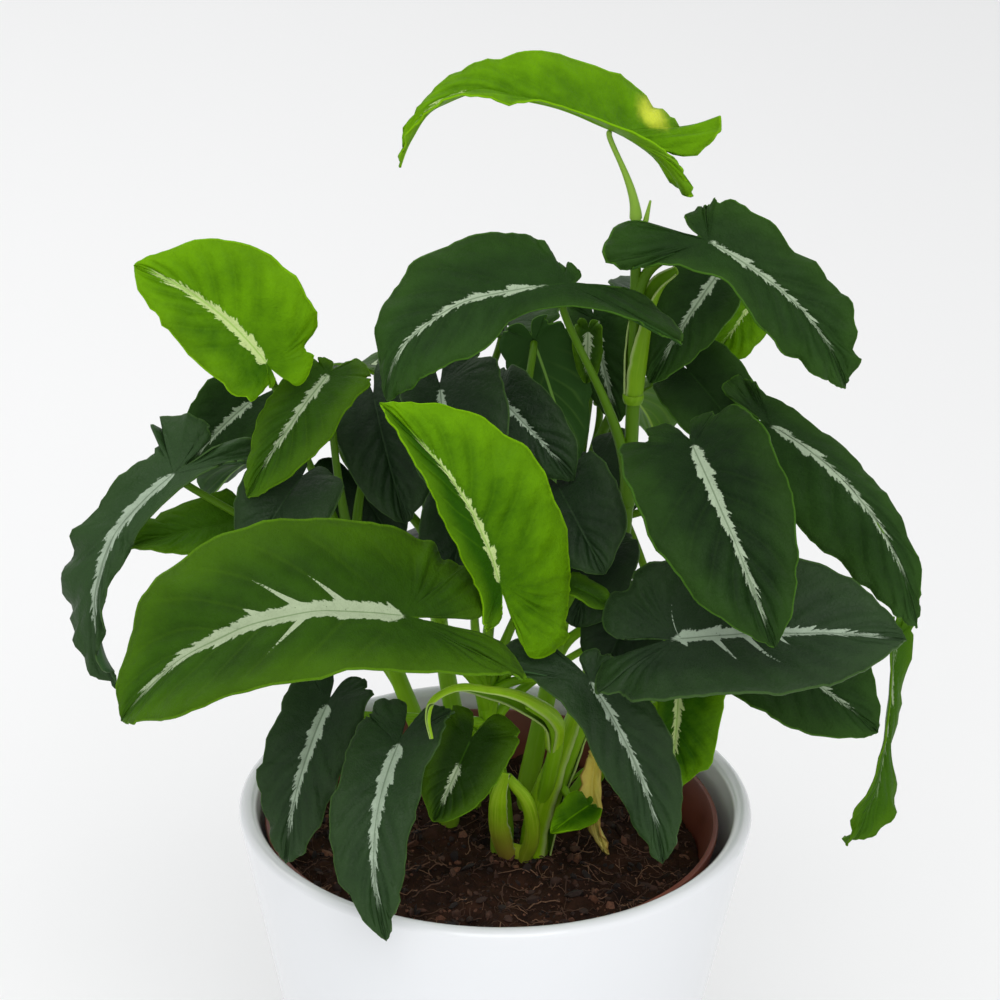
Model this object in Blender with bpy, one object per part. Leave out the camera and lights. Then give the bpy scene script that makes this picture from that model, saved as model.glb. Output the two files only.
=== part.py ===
"""Potted syngonium: an arrowhead plant in a thin nursery pot that stands in a white cover pot.

World frame: +Z up, origin at the centre of the cover pot's flat base, the plant's front towards -Y.
Lengths in the tables are millimetres and angles are degrees.
"""

import math
from typing import NamedTuple

import bmesh
import bpy
import numpy as np
from mathutils import Vector

MM = 0.001
GAP = 0.3
CUT_MARGIN = 1.0
WELD_DISTANCE = 1e-6
LIP_ANGLE = 60
CREASE_ANGLE = 50

# Cover pot: a glazed ceramic cone with a rounded lip.
COVER_HEIGHT = 122.0
COVER_RIM_RADIUS = 70.0
COVER_BASE_RADIUS = 47.0
COVER_MOUTH_RADIUS = 65.0
COVER_FLOOR = 5.0
COVER_FLOOR_RADIUS = 44.5
COVER_LIP_DROP = 2.0
COVER_FOOT_ROUND = 3.0
COVER_FOOT_STEP = 0.9
COVER_FLOOR_ROUND = 2.0
COVER_LIP_POINTS = 7
COVER_SIDES = 48

# Nursery pot: thin moulded plastic with a thicker rim band and drain holes.
NURSERY_HEIGHT = 112.5
NURSERY_RIM_RADIUS = 62.0
NURSERY_BASE_RADIUS = 40.0
NURSERY_WALL = 1.0
NURSERY_BAND_WALL = 1.7
NURSERY_BAND_HEIGHT = 9.0
NURSERY_BAND_STEP = 0.8
NURSERY_BAND_CHAMFER = 0.6
NURSERY_RIM_INSET = 1.0
NURSERY_FLOOR = 1.4
NURSERY_SHIFT = (-0.9, -1.0)
NURSERY_SIDES = 40
DRAIN_RADIUS = 4.0
DRAIN_CIRCLE = 26.0
DRAIN_COUNT = 6
DRAIN_SIDES = 12

# Soil: peat that fills the nursery pot to a little below its rim, with a hole for each stem.
SOIL_TOP = 105.0
SOIL_SIDE_GAP = 0.5
SOIL_LUMP = 1.6
SOIL_SWELL = (0.6, 0.21, 0.17, 0.6)
SOIL_RIPPLE = (0.4, 0.43, 0.37)
SOIL_RINGS = 4
SOIL_SIDES = 36
STEM_DEPTH = 14.0
STEM_HOLE_CLEARANCE = 0.5
STEM_HOLE_SIDES = 20
STEM_HOLE_OVERRUN = 10.0

# Leaf blades and the round stalks that carry them.
BLADE_THICKNESS = 0.8
BLADE_ROWS = 11
SMALL_BLADE_ROWS = 8
SMALL_BLADE_LENGTH = 27.0
BLADE_COLUMNS = 2
FRONT_SHARE = 0.5
WAVES_PER_SIDE = 2.5

# Half a blade's outline. In front of the joint its points are shares of the length and of the
# half's width; behind it they follow the lobe. The notch between the lobes is a share of the length.
FRONT_MARGIN = ((1.0, 0.0), (0.93, 0.24), (0.72, 0.70), (0.43, 0.96), (0.13, 1.0))
SHOULDER_BACK = 0.45
SHOULDER_OUT = 0.62
CHEEK = 0.84
CHEEK_SWELL = 0.23
SLIM_LOBE = 0.8
INNER_LOBE_LENGTH = 0.8
INNER_LOBE_SPREAD = 0.35
NOTCH_SHARE = 0.05
BLUNT_FROM = 0.43
BLUNT_SPAN = 0.5

# Across a blade: the shares of the half width over which a lobe's own droop and the edge's wave fade in.
DROOP_FADE = 0.3
WAVE_FADE = 0.5

# Round stalks.
PETIOLE_POINTS = 6
PETIOLE_RADII = (1.9, 1.0)
PETIOLE_GAP = 0.6
STALK_RESOLUTION = 1
STALK_SINK = 3.0
STEM_STEP_SHARE = 0.02

COLOURS = {
    "glaze": ((0.86, 0.88, 0.90), 0.18),
    "terracotta_plastic": ((0.20, 0.075, 0.045), 0.45),
    "soil": ((0.030, 0.017, 0.011), 0.95),
    "stalk": ((0.17, 0.33, 0.02), 0.45),
    "leaf_dark": ((0.022, 0.055, 0.022), 0.55),
    "leaf_mid": ((0.045, 0.13, 0.012), 0.50),
    "leaf_bright": ((0.13, 0.33, 0.006), 0.45),
    "leaf_withered": ((0.42, 0.36, 0.04), 0.70),
}


class Lobe(NamedTuple):
    """One of the two ears behind the stalk: its length, its angle from straight back, its droop."""

    length: float
    spread: float
    droop: float


class Leaf(NamedTuple):
    """One blade, its side sizes given right half first, as seen on the upper side with the tip up.

    joint and tip are the ends of the midrib, and facing is where the upper side looks: its azimuth
    and its elevation. widths and lobes are the halves' greatest widths and the ears behind the joint.
    The stalk leaves the shoot at the share height of its length, runs on along it for about rise, and
    reaches the joint square to the blade from about reach below. bulge and sway bow the midrib up and
    to the right, crest is the share of the length where they are greatest, fold tilts the halves up
    like an open book, wave is the height of the ripples along the margin, blunt widens the tip, and
    waists narrow the halves beside the joint.
    """

    name: str
    joint: tuple
    tip: tuple
    facing: tuple
    widths: tuple
    lobes: tuple
    shoot: str
    height: float
    rise: float = 25.0
    reach: float = 15.0
    bulge: float = 6.0
    crest: float = 0.5
    sway: float = 0.0
    fold: float = 12.0
    wave: float = 1.0
    blunt: float = 1.0
    waists: tuple = (1.0, 1.0)
    colour: str = "leaf_dark"


class Shoot(NamedTuple):
    """One stem: the points its centre line passes, its radius at the soil and at the top, and the
    solver that joins its stalks, which is MANIFOLD where EXACT leaves an edge open."""

    name: str
    path: tuple
    radii: tuple
    solver: str = "EXACT"


class Sprout(NamedTuple):
    """A pointed side growth of a shoot: its centre line and the radius at each point of it."""

    shoot: str
    path: tuple
    radii: tuple


SHOOTS = (
    Shoot("shoot_tall", ((11, 1, 112), (18, -1, 135), (27, 0, 165), (33, 4, 205), (34, 4, 250), (33, 2, 290)),
          (3.4, 1.4)),
    Shoot("shoot_front", ((2, 1, 112), (1, -2, 126), (-1, -8, 142), (-3, -14, 158)), (3.2, 2.2),
          "MANIFOLD"),
    Shoot("shoot_left", ((-13, 15, 112), (-20, 14, 132), (-28, 12, 155), (-36, 9, 180)), (3.0, 2.0),
          "MANIFOLD"),
    Shoot("shoot_right", ((22, 17, 112), (31, 13, 130), (40, 11, 150), (47, 8, 172)), (3.2, 2.0)),
    Shoot("shoot_back_left", ((-7, 25, 112), (-12, 30, 132), (-16, 34, 155), (-18, 36, 180)), (3.0, 2.0)),
    Shoot("shoot_back_right", ((9, 27, 112), (13, 32, 132), (17, 36, 155), (19, 38, 180)), (3.0, 2.0),
          "MANIFOLD"),
)

SPROUTS = (
    Sprout("shoot_tall", ((11, 0, 116), (15, -8, 137), (16, -12, 147), (13, -17, 156), (6, -24, 163),
                          (-2, -33, 171), (-10, -44, 177), (-14, -52, 175), (-13, -57, 168)),
           (2.6, 2.4, 2.3, 2.3, 2.3, 2.2, 1.7, 1.0, 0.5)),
    Sprout("shoot_tall", ((33, 4, 281), (35, 2, 287), (37, 1, 293)), (1.6, 1.2, 0.4)),
)

LEAVES = (
    Leaf("leaf_top", (26, 0, 314), (-27, -14, 308), (-90, 80), (10, 10), (Lobe(36, 20, -22), Lobe(26, 28, 50)),
         "shoot_tall", 1.0, rise=10, reach=2, bulge=17, crest=0.8, fold=25, wave=1.2, blunt=0.5,
         waists=(1.55, 0.5), colour="leaf_bright"),
    Leaf("leaf_upper_left_bright", (-60, -16, 256), (-94, -6, 278), (-88, 25), (20, 13),
         (Lobe(14, 50, 10), Lobe(6, 30, 10)), "shoot_left", 0.9, reach=26, bulge=3, sway=3,
         colour="leaf_bright"),
    Leaf("leaf_left_mid", (-45, -4, 248), (-65, -22, 221), (-100, 45), (8, 12),
         (Lobe(5, 60, 20), Lobe(11, 60, 20)), "shoot_left", 1.0, reach=20, bulge=3, colour="leaf_mid"),
    Leaf("leaf_upper_mid", (15, -14, 278), (-29, -31, 252), (-95, 48), (16, 14),
         (Lobe(8, 50, 10), Lobe(31, 40, 25)), "shoot_tall", 0.62, bulge=11, crest=0.75, sway=7, fold=0,
         blunt=0.95, waists=(1.15, 0.5)),
    Leaf("leaf_upper_right", (51, -12, 289), (86, -24, 255), (-90, 46), (13, 12),
         (Lobe(25, 54, 5), Lobe(12, 40, 15)), "shoot_tall", 0.86, bulge=7, crest=0.6, sway=-3, wave=2.5,
         waists=(0.7, 1.0)),
    Leaf("leaf_upper_right_back", (56, 16, 271), (38, 6, 243), (-100, 35), (10, 10),
         (Lobe(12, 40, 20), Lobe(10, 40, 20)), "shoot_back_right", 0.95, rise=55, bulge=3),
    Leaf("leaf_right_bright_back", (68, 38, 258), (54, 34, 238), (-70, 0), (9, 9),
         (Lobe(10, 40, 20), Lobe(10, 40, 20)), "shoot_right", 1.0, reach=20, bulge=2, colour="leaf_bright"),
    Leaf("leaf_right_round", (50, 26, 238), (66, 16, 221), (-95, 35), (12, 12),
         (Lobe(9, 40, 20), Lobe(9, 40, 20)), "shoot_right", 0.95, bulge=3),
    Leaf("leaf_right_arch", (70, 0, 234), (109, -20, 186), (-105, 38), (17, 7),
         (Lobe(15, 40, 20), Lobe(24, 22, 0)), "shoot_right", 0.9, bulge=10, sway=-7, fold=-20, wave=2),
    Leaf("leaf_right_front", (48, -30, 241), (68, -66, 203), (-95, 40), (20, 18),
         (Lobe(14, 45, 20), Lobe(12, 45, 20)), "shoot_right", 1.0, bulge=7),
    Leaf("leaf_right_lower", (46, -44, 194), (103, -46, 196), (-95, 62), (23, 23),
         (Lobe(25, 30, 25), Lobe(24, 40, 10)), "shoot_right", 0.6, bulge=3),
    Leaf("leaf_right_low_back", (68, 4, 168), (102, -12, 151), (-95, 50), (17, 17),
         (Lobe(14, 40, 20), Lobe(14, 40, 20)), "shoot_right", 0.5, bulge=4),
    Leaf("leaf_right_hanging", (107, 8, 169), (96, -1, 111), (-40, 10), (4, 5),
         (Lobe(8, 40, 20), Lobe(8, 40, 20)), "shoot_right", 0.8, rise=60, reach=20, bulge=3, crest=0.85,
         sway=-5, wave=2, blunt=2.4, colour="leaf_mid"),
    Leaf("leaf_low_right", (24, -34, 176), (44, -44, 128), (-90, 25), (9, 11),
         (Lobe(22, 50, 40), Lobe(10, 40, 20)), "shoot_front", 0.9, bulge=5, sway=-3),
    Leaf("leaf_low_right_bright", (48, -14, 164), (46, -22, 138), (-85, 20), (6, 12),
         (Lobe(6, 40, 20), Lobe(8, 40, 20)), "shoot_right", 0.3, bulge=3, colour="leaf_mid"),
    Leaf("leaf_front_left", (-24, -62, 208), (-92, -80, 187), (-92, 60), (26, 22),
         (Lobe(32, 34, 2), Lobe(32, 30, 0)), "shoot_front", 1.0, bulge=14, crest=0.55, sway=4, blunt=1.3,
         colour="leaf_mid"),
    Leaf("leaf_centre_bright", (0, -44, 209), (-30, -46, 258), (-60, 25), (21, 9),
         (Lobe(34, 28, 15), Lobe(12, 40, 20)), "shoot_front", 1.0, bulge=4, sway=3, colour="leaf_bright"),
    Leaf("leaf_low_left_1", (-44, -36, 169), (-54, -52, 131), (-100, 25), (11, 11),
         (Lobe(12, 40, 20), Lobe(12, 40, 20)), "shoot_front", 0.6, bulge=5, sway=1),
    Leaf("leaf_low_left_2", (-25, -51, 166), (-27, -76, 123), (-95, 25), (12, 10),
         (Lobe(15, 40, 20), Lobe(15, 40, 20)), "shoot_front", 0.7, bulge=6, sway=4),
    Leaf("leaf_low_mid", (-7, -38, 160), (-16, -50, 143), (-80, 40), (9, 11),
         (Lobe(10, 50, 20), Lobe(14, 50, 20)), "shoot_front", 0.4, bulge=2, colour="leaf_mid"),
    Leaf("leaf_far_left", (-85, -8, 221), (-100, -20, 164), (-125, 30), (12, 6),
         (Lobe(22, 50, 5), Lobe(23, 45, 5)), "shoot_left", 0.8, bulge=10, sway=8, wave=2.5, blunt=1.5,
         waists=(0.7, 1.0)),
    Leaf("leaf_left_small_bright", (-70, 5, 202), (-98, -4, 198), (-90, 50), (8, 8),
         (Lobe(6, 40, 20), Lobe(6, 40, 20)), "shoot_left", 0.6, bulge=2, colour="leaf_bright"),
    Leaf("leaf_left_low_dark", (-52, -12, 222), (-64, -24, 203), (-95, 40), (12, 13),
         (Lobe(8, 40, 20), Lobe(9, 40, 20)), "shoot_left", 0.9, bulge=4),
    Leaf("leaf_mid_left", (-34, 19, 232), (-25, 5, 202), (-95, 25), (12, 14),
         (Lobe(12, 40, 20), Lobe(13, 40, 20)), "shoot_left", 1.0, bulge=4),
    Leaf("leaf_mid_front", (-16, -8, 246), (-12, -24, 219), (-90, 20), (10, 17),
         (Lobe(13, 40, 10), Lobe(15, 45, 10)), "shoot_back_left", 1.0, bulge=3),
    Leaf("leaf_mid_dark", (0, 0, 240), (19, -12, 223), (-90, 30), (10, 10),
         (Lobe(10, 40, 20), Lobe(10, 40, 20)), "shoot_back_left", 0.9, bulge=3),
    Leaf("leaf_mid_underside", (8, 14, 251), (19, 10, 216), (95, 30), (10, 10),
         (Lobe(8, 40, 0), Lobe(8, 40, 0)), "shoot_front", 1.0, bulge=3, colour="leaf_mid"),
    Leaf("leaf_mid_right", (24, 28, 252), (31, 24, 224), (-100, 20), (7, 10),
         (Lobe(10, 40, 20), Lobe(10, 40, 20)), "shoot_back_right", 1.0, bulge=3),
    Leaf("leaf_mid_small", (22, 14, 254), (22, 12, 240), (-90, 10), (4, 4),
         (Lobe(4, 40, 20), Lobe(4, 40, 20)), "shoot_back_left", 1.0, bulge=1, colour="leaf_mid"),
    Leaf("leaf_mid_low", (15, -10, 220), (27, -28, 204), (-95, 35), (14, 14),
         (Lobe(10, 50, 20), Lobe(10, 50, 20)), "shoot_front", 0.9, bulge=3),
    Leaf("leaf_mid_low_back", (26, 22, 213), (35, 14, 202), (-95, 35), (12, 12),
         (Lobe(10, 50, 20), Lobe(10, 50, 20)), "shoot_right", 0.7, bulge=2),
    Leaf("leaf_young", (19, -25, 199), (29, -27, 194), (-90, 60), (4, 4),
         (Lobe(3, 40, 20), Lobe(3, 40, 20)), "shoot_front", 0.8, bulge=1, colour="leaf_mid"),
    Leaf("leaf_left_back", (-67, 20, 230), (-84, 14, 213), (-95, 35), (11, 11),
         (Lobe(12, 40, 20), Lobe(12, 40, 20)), "shoot_left", 0.7, bulge=3),
    Leaf("leaf_low_small", (25, -12, 127), (15, -20, 123), (-90, 50), (5, 5),
         (Lobe(3, 40, 20), Lobe(3, 40, 20)), "shoot_tall", 0.05, bulge=1, colour="leaf_bright"),
    Leaf("leaf_withered", (27, 1, 134), (31, -7, 109), (-100, 10), (2.6, 2.6),
         (Lobe(3, 40, 20), Lobe(3, 40, 20)), "shoot_tall", 0.02, rise=12, reach=4, bulge=2, sway=2, fold=35, wave=1.5,
         colour="leaf_withered"),
    Leaf("leaf_inner_left", (-40, 24, 207), (-27, 15, 189), (-95, 35), (10, 9),
         (Lobe(11, 40, 20), Lobe(11, 40, 20)), "shoot_left", 0.95, bulge=3),
    Leaf("leaf_inner_mid", (-9, 1, 208), (-13, -9, 188), (-95, 35), (11, 8),
         (Lobe(11, 40, 20), Lobe(11, 40, 20)), "shoot_back_left", 0.8, bulge=3),
    Leaf("leaf_inner_right", (25, -7, 200), (20, -17, 183), (-95, 35), (11, 12),
         (Lobe(12, 40, 20), Lobe(12, 40, 20)), "shoot_front", 0.85, bulge=3),
    Leaf("leaf_inner_low", (35, -9, 184), (27, -17, 168), (-95, 35), (11, 11),
         (Lobe(10, 40, 20), Lobe(10, 40, 20)), "shoot_front", 0.7, bulge=3),
    Leaf("leaf_back_1", (-44, 34, 214), (-84, 66, 180), (130, 45), (17, 17),
         (Lobe(16, 40, 20), Lobe(16, 40, 20)), "shoot_back_left", 0.9, bulge=6),
    Leaf("leaf_back_2", (-12, 56, 218), (-18, 100, 188), (95, 50), (18, 18),
         (Lobe(13, 40, 20), Lobe(13, 40, 20)), "shoot_back_left", 1.0, bulge=7),
    Leaf("leaf_back_3", (27, 61, 217), (46, 100, 186), (80, 50), (18, 18),
         (Lobe(16, 40, 20), Lobe(16, 40, 20)), "shoot_back_right", 1.0, bulge=7, colour="leaf_mid"),
    Leaf("leaf_back_4", (60, 40, 204), (96, 66, 170), (50, 45), (17, 17),
         (Lobe(16, 40, 20), Lobe(16, 40, 20)), "shoot_back_right", 0.9, bulge=6),
    Leaf("leaf_back_5", (-60, 24, 188), (-98, 36, 154), (160, 40), (15, 15),
         (Lobe(14, 40, 20), Lobe(14, 40, 20)), "shoot_left", 0.5, bulge=6, colour="leaf_mid"),
    Leaf("leaf_back_6", (-28, 54, 175), (-42, 88, 140), (105, 40), (15, 15),
         (Lobe(14, 40, 20), Lobe(14, 40, 20)), "shoot_back_left", 0.6, bulge=6),
    Leaf("leaf_back_7", (15, 56, 172), (20, 92, 136), (85, 40), (15, 15),
         (Lobe(14, 40, 20), Lobe(14, 40, 20)), "shoot_back_right", 0.6, bulge=6),
    Leaf("leaf_back_8", (52, 40, 168), (80, 70, 134), (50, 40), (14, 14),
         (Lobe(14, 40, 20), Lobe(14, 40, 20)), "shoot_back_right", 0.5, bulge=6),
    Leaf("leaf_back_9", (0, 36, 248), (-12, 76, 222), (100, 50), (16, 16),
         (Lobe(15, 40, 20), Lobe(15, 40, 20)), "shoot_back_left", 1.0, bulge=6),
    Leaf("leaf_back_10", (42, 40, 254), (68, 72, 226), (60, 50), (15, 15),
         (Lobe(14, 40, 20), Lobe(14, 40, 20)), "shoot_back_right", 1.0, bulge=6),
    Leaf("leaf_back_11", (5, 60, 194), (6, 104, 160), (88, 50), (16, 16),
         (Lobe(15, 40, 20), Lobe(15, 40, 20)), "shoot_back_right", 0.9, bulge=6, colour="leaf_mid"),
    Leaf("leaf_back_12", (-31, 46, 230), (-58, 82, 198), (125, 50), (16, 16),
         (Lobe(15, 40, 20), Lobe(15, 40, 20)), "shoot_back_left", 0.95, bulge=6, colour="leaf_mid"),
)


def lerp(a, b, t):
    """The point a share t of the way from a to b."""
    return a + (b - a) * t


def spline(points, shares):
    """Points along a Catmull-Rom curve that runs through the given ones, at shares from 0 to 1."""
    pts = np.array(points, float)
    padded = np.vstack([2 * pts[0] - pts[1], pts, 2 * pts[-1] - pts[-2]])
    place = np.clip(np.asarray(shares, float), 0, 1) * (len(pts) - 1)
    span = np.minimum(place.astype(int), len(pts) - 2)
    t = (place - span)[:, None]
    a, b, c, d = (padded[span + k] for k in range(4))
    return 0.5 * (2 * b + (c - a) * t + (2 * a - 5 * b + 4 * c - d) * t**2 + (3 * b - a - 3 * c + d) * t**3)


def unit(vector):
    """The vector at length 1."""
    return vector / np.linalg.norm(vector)


def upper_side(facing):
    """The direction that an upper side looks to, from its azimuth and its elevation."""
    azimuth, elevation = (math.radians(angle) for angle in facing)
    flat = math.cos(elevation)
    return np.array([flat * math.cos(azimuth), flat * math.sin(azimuth), math.sin(elevation)])


def leaf_axes(leaf):
    """The joint, the length to the tip, and unit vectors along the blade, to its right and up from it."""
    joint = np.array(leaf.joint, float)
    reach = np.array(leaf.tip, float) - joint
    along = unit(reach)
    looks = upper_side(leaf.facing)
    up = unit(looks - along * looks.dot(along))
    return joint, np.linalg.norm(reach), along, np.cross(along, up), up


def margin(length, width, lobe, blunt, waist):
    """Outline of half a blade in its flat pattern, from the tip round the lobe to the notch."""
    sine, cosine = math.sin(math.radians(lobe.spread)), math.cos(math.radians(lobe.spread))
    back, out = lobe.length * cosine, lobe.length * sine
    swell = CHEEK_SWELL * min(width, SLIM_LOBE * lobe.length)
    inner = math.radians(lobe.spread * INNER_LOBE_SPREAD)
    reach = INNER_LOBE_LENGTH * lobe.length
    swells = [blunt ** float(np.clip((ahead - BLUNT_FROM) / BLUNT_SPAN, 0, 1)) for ahead, _ in FRONT_MARGIN]
    front = [(ahead * length, aside * width * swell) for (ahead, aside), swell in zip(FRONT_MARGIN, swells)]
    front[-1] = (front[-1][0], front[-1][1] * waist)
    return tuple(front) + (
        (-SHOULDER_BACK * back, SHOULDER_OUT * width * waist + SHOULDER_BACK * out),
        (-CHEEK * back + swell * sine, CHEEK * out + swell * cosine),
        (-back, out),
        (-reach * math.cos(inner), reach * math.sin(inner)),
        (-NOTCH_SHARE * length, 0),
    )


def midrib_handle(leaf):
    """The middle control point of the midrib's curve, from the joint."""
    _, length, along, right, up = leaf_axes(leaf)
    return along * length * leaf.crest + 2 * (leaf.bulge * up + leaf.sway * right)


def joint_normal(leaf):
    """The direction that the upper side looks to at the joint, square to the midrib there."""
    tangent = unit(midrib_handle(leaf))
    up = leaf_axes(leaf)[4]
    return unit(up - tangent * tangent.dot(up))


def blade_grid(leaf, side, rows, columns):
    """Points of one half of a blade, as rows from the tip to the notch and columns from the midrib out."""
    joint, length, along, right, up = leaf_axes(leaf)
    out = right * side
    which = 0 if side > 0 else 1
    width, lobe = leaf.widths[which], leaf.lobes[which]
    mean_droop = (leaf.lobes[0].droop + leaf.lobes[1].droop) / 2
    longest = max(leaf.lobes[0].length, leaf.lobes[1].length)
    middle = midrib_handle(leaf)

    share = np.linspace(0, 1, rows + 1)
    edge = spline(margin(length, width, lobe, leaf.blunt, leaf.waists[which]), share)
    stem_line = length * np.clip(1 - share / FRONT_SHARE, 0, 1)
    step = np.linspace(0, 1, columns + 1)
    u = lerp(stem_line[:, None], edge[:, :1], step)
    v = np.maximum(lerp(0.0, edge[:, 1:], step), 0)

    ahead = np.clip(u / length, 0, 1)[..., None]
    spine = 2 * ahead * (1 - ahead) * middle + ahead**2 * along * length
    tangent = 2 * (1 - 2 * ahead) * middle + 2 * ahead * along * length
    tangent /= np.linalg.norm(tangent, axis=-1, keepdims=True)
    normal = up - tangent * (tangent @ up)[..., None]
    normal /= np.linalg.norm(normal, axis=-1, keepdims=True)

    behind = np.maximum(-u, 0)
    own = np.clip(v / (DROOP_FADE * width), 0, 1)
    bend = np.radians(mean_droop + (lobe.droop - mean_droop) * own) / longest
    turn = bend * behind + 1e-9
    run = (np.sin(turn) / turn * behind)[..., None]
    fall = ((1 - np.cos(turn)) / turn * behind)[..., None]
    spine = spine - tangent * run - normal * fall
    normal = normal * np.cos(turn)[..., None] - tangent * np.sin(turn)[..., None]

    lean = math.radians(leaf.fold)
    ripple = leaf.wave * step**2 * np.sin(2 * math.pi * WAVES_PER_SIDE * share + side)[:, None]
    fade = np.clip(v / (WAVE_FADE * width), 0, 1)
    lateral = v[..., None] * (math.cos(lean) * out + math.sin(lean) * normal)
    return joint + spine + lateral + (ripple * fade)[..., None] * normal


def link(obj):
    """Puts an object in the scene and gives it back."""
    bpy.context.scene.collection.objects.link(obj)
    return obj


def new_object(name, mesh):
    """A linked object with the given mesh."""
    return link(bpy.data.objects.new(name, mesh))


def mesh_from(bm, name):
    """A mesh made of the bmesh, which is freed."""
    mesh = bpy.data.meshes.new(name)
    bm.to_mesh(mesh)
    bm.free()
    return mesh


def paint(obj, colour):
    """Gives the object its own Principled material."""
    base, roughness = COLOURS[colour]
    material = bpy.data.materials.new(f"{obj.name}_{colour}")
    material.use_nodes = True
    shader = material.node_tree.nodes["Principled BSDF"]
    shader.inputs["Base Color"].default_value = (*base, 1)
    shader.inputs["Roughness"].default_value = roughness
    shader.inputs["Metallic"].default_value = 0
    obj.data.materials.clear()
    obj.data.materials.append(material)


def shade_round(obj, angle=CREASE_ANGLE):
    """Smooth shading that keeps edges sharper than the angle."""
    obj.data.shade_smooth()
    obj.data.set_sharp_from_angle(angle=math.radians(angle))


def apply_modifiers(obj):
    """Replaces the object's mesh by what its modifiers make of it."""
    shape = obj.evaluated_get(bpy.context.evaluated_depsgraph_get())
    mesh = bpy.data.meshes.new_from_object(shape)
    obj.modifiers.clear()
    obj.data = mesh


def turned(name, profile, sides, centre=(0, 0)):
    """A solid of revolution about +Z, from (radius, height) points that run up outside and down inside."""
    bm = bmesh.new()
    verts = [bm.verts.new((radius * MM, 0, height * MM)) for radius, height in profile]
    edges = [bm.edges.new(pair) for pair in zip(verts, verts[1:])]
    bmesh.ops.spin(bm, geom=verts + edges, cent=(0, 0, 0), axis=(0, 0, 1), angle=2 * math.pi, steps=sides)
    bmesh.ops.remove_doubles(bm, verts=bm.verts, dist=WELD_DISTANCE)
    bmesh.ops.recalc_face_normals(bm, faces=bm.faces)
    bmesh.ops.translate(bm, verts=bm.verts, vec=(centre[0] * MM, centre[1] * MM, 0))
    return new_object(name, mesh_from(bm, name))


def cut(obj, cutters, name):
    """Takes the cutters out of the object and removes them."""
    tools = bpy.data.collections.new(name)
    bpy.context.scene.collection.children.link(tools)
    for cutter in cutters:
        bpy.context.scene.collection.objects.unlink(cutter)
        tools.objects.link(cutter)
    boolean = obj.modifiers.new(name, "BOOLEAN")
    boolean.operation = "DIFFERENCE"
    boolean.operand_type = "COLLECTION"
    boolean.collection = tools
    boolean.solver = "EXACT"
    apply_modifiers(obj)
    clear_collection(tools)


def clear_collection(collection):
    """Removes a collection and the objects in it."""
    for obj in list(collection.objects):
        bpy.data.objects.remove(obj)
    bpy.data.collections.remove(collection)


def peg(x, y, low, high, radius, sides):
    """A plain upright cylinder between two heights."""
    bm = bmesh.new()
    bmesh.ops.create_cone(bm, cap_ends=True, segments=sides, radius1=radius * MM, radius2=radius * MM,
                          depth=(high - low) * MM)
    bmesh.ops.translate(bm, verts=bm.verts, vec=(x * MM, y * MM, (low + high) / 2 * MM))
    return new_object("peg", mesh_from(bm, "peg"))


def make_cover_pot():
    """The white outer pot, with a rounded foot and a rounded lip."""
    height, rim, mouth = COVER_HEIGHT, COVER_RIM_RADIUS, COVER_MOUTH_RADIUS
    foot = COVER_FOOT_ROUND
    lip = (rim - mouth) / 2
    bow = [(mouth + lip + lip * math.cos(a), height - COVER_LIP_DROP + COVER_LIP_DROP * math.sin(a))
           for a in np.linspace(0, math.pi, COVER_LIP_POINTS)]
    step = COVER_FOOT_STEP
    base = COVER_BASE_RADIUS
    profile = [(0, 0), (base - foot, 0), (base - step, step), (base, foot)]
    profile += bow
    inside = COVER_FLOOR_ROUND
    profile += [(COVER_FLOOR_RADIUS, COVER_FLOOR + inside), (COVER_FLOOR_RADIUS - inside, COVER_FLOOR)]
    profile.append((0, COVER_FLOOR))
    pot = turned("cover_pot", profile, COVER_SIDES)
    shade_round(pot, LIP_ANGLE)
    paint(pot, "glaze")


def nursery_radius(height):
    """Outer radius of the nursery pot's wall at a height above its own foot."""
    return lerp(NURSERY_BASE_RADIUS, NURSERY_RIM_RADIUS - NURSERY_RIM_INSET, height / NURSERY_HEIGHT)


def nursery_foot():
    """Height at which the nursery pot stands."""
    return COVER_FLOOR + GAP


def make_nursery_pot():
    """The thin plastic pot inside, with a rim band and drain holes in its floor."""
    foot, top = nursery_foot(), NURSERY_HEIGHT
    band = top - NURSERY_BAND_HEIGHT
    slope = NURSERY_BAND_CHAMFER
    outer = [(0, 0), (NURSERY_BASE_RADIUS, 0), (nursery_radius(band), band),
             (nursery_radius(band) + NURSERY_BAND_STEP, band + slope),
             (NURSERY_RIM_RADIUS, top - slope), (NURSERY_RIM_RADIUS - slope, top)]
    lip = NURSERY_RIM_RADIUS - NURSERY_BAND_WALL
    inner = [(lip, top), (nursery_radius(band) - NURSERY_WALL, band),
             (NURSERY_BASE_RADIUS - NURSERY_WALL, NURSERY_FLOOR), (0, NURSERY_FLOOR)]
    profile = [(radius, height + foot) for radius, height in outer + inner]
    pot = turned("nursery_pot", profile, NURSERY_SIDES, NURSERY_SHIFT)
    holes = []
    for k in range(DRAIN_COUNT):
        angle = 2 * math.pi * k / DRAIN_COUNT
        x = NURSERY_SHIFT[0] + DRAIN_CIRCLE * math.cos(angle)
        y = NURSERY_SHIFT[1] + DRAIN_CIRCLE * math.sin(angle)
        low, high = foot - CUT_MARGIN, foot + NURSERY_FLOOR + CUT_MARGIN
        holes.append(peg(x, y, low, high, DRAIN_RADIUS, DRAIN_SIDES))
    cut(pot, holes, "drain_holes")
    shade_round(pot)
    paint(pot, "terracotta_plastic")


def lump(x, y):
    """Height of the soil's surface above its mean level."""
    high, across, along, phase = SOIL_SWELL
    swell = high * math.sin(x * across + phase) * math.cos(y * along)
    low, across, along = SOIL_RIPPLE
    return SOIL_LUMP * (swell + low * math.sin(x * across - y * along))


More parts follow.
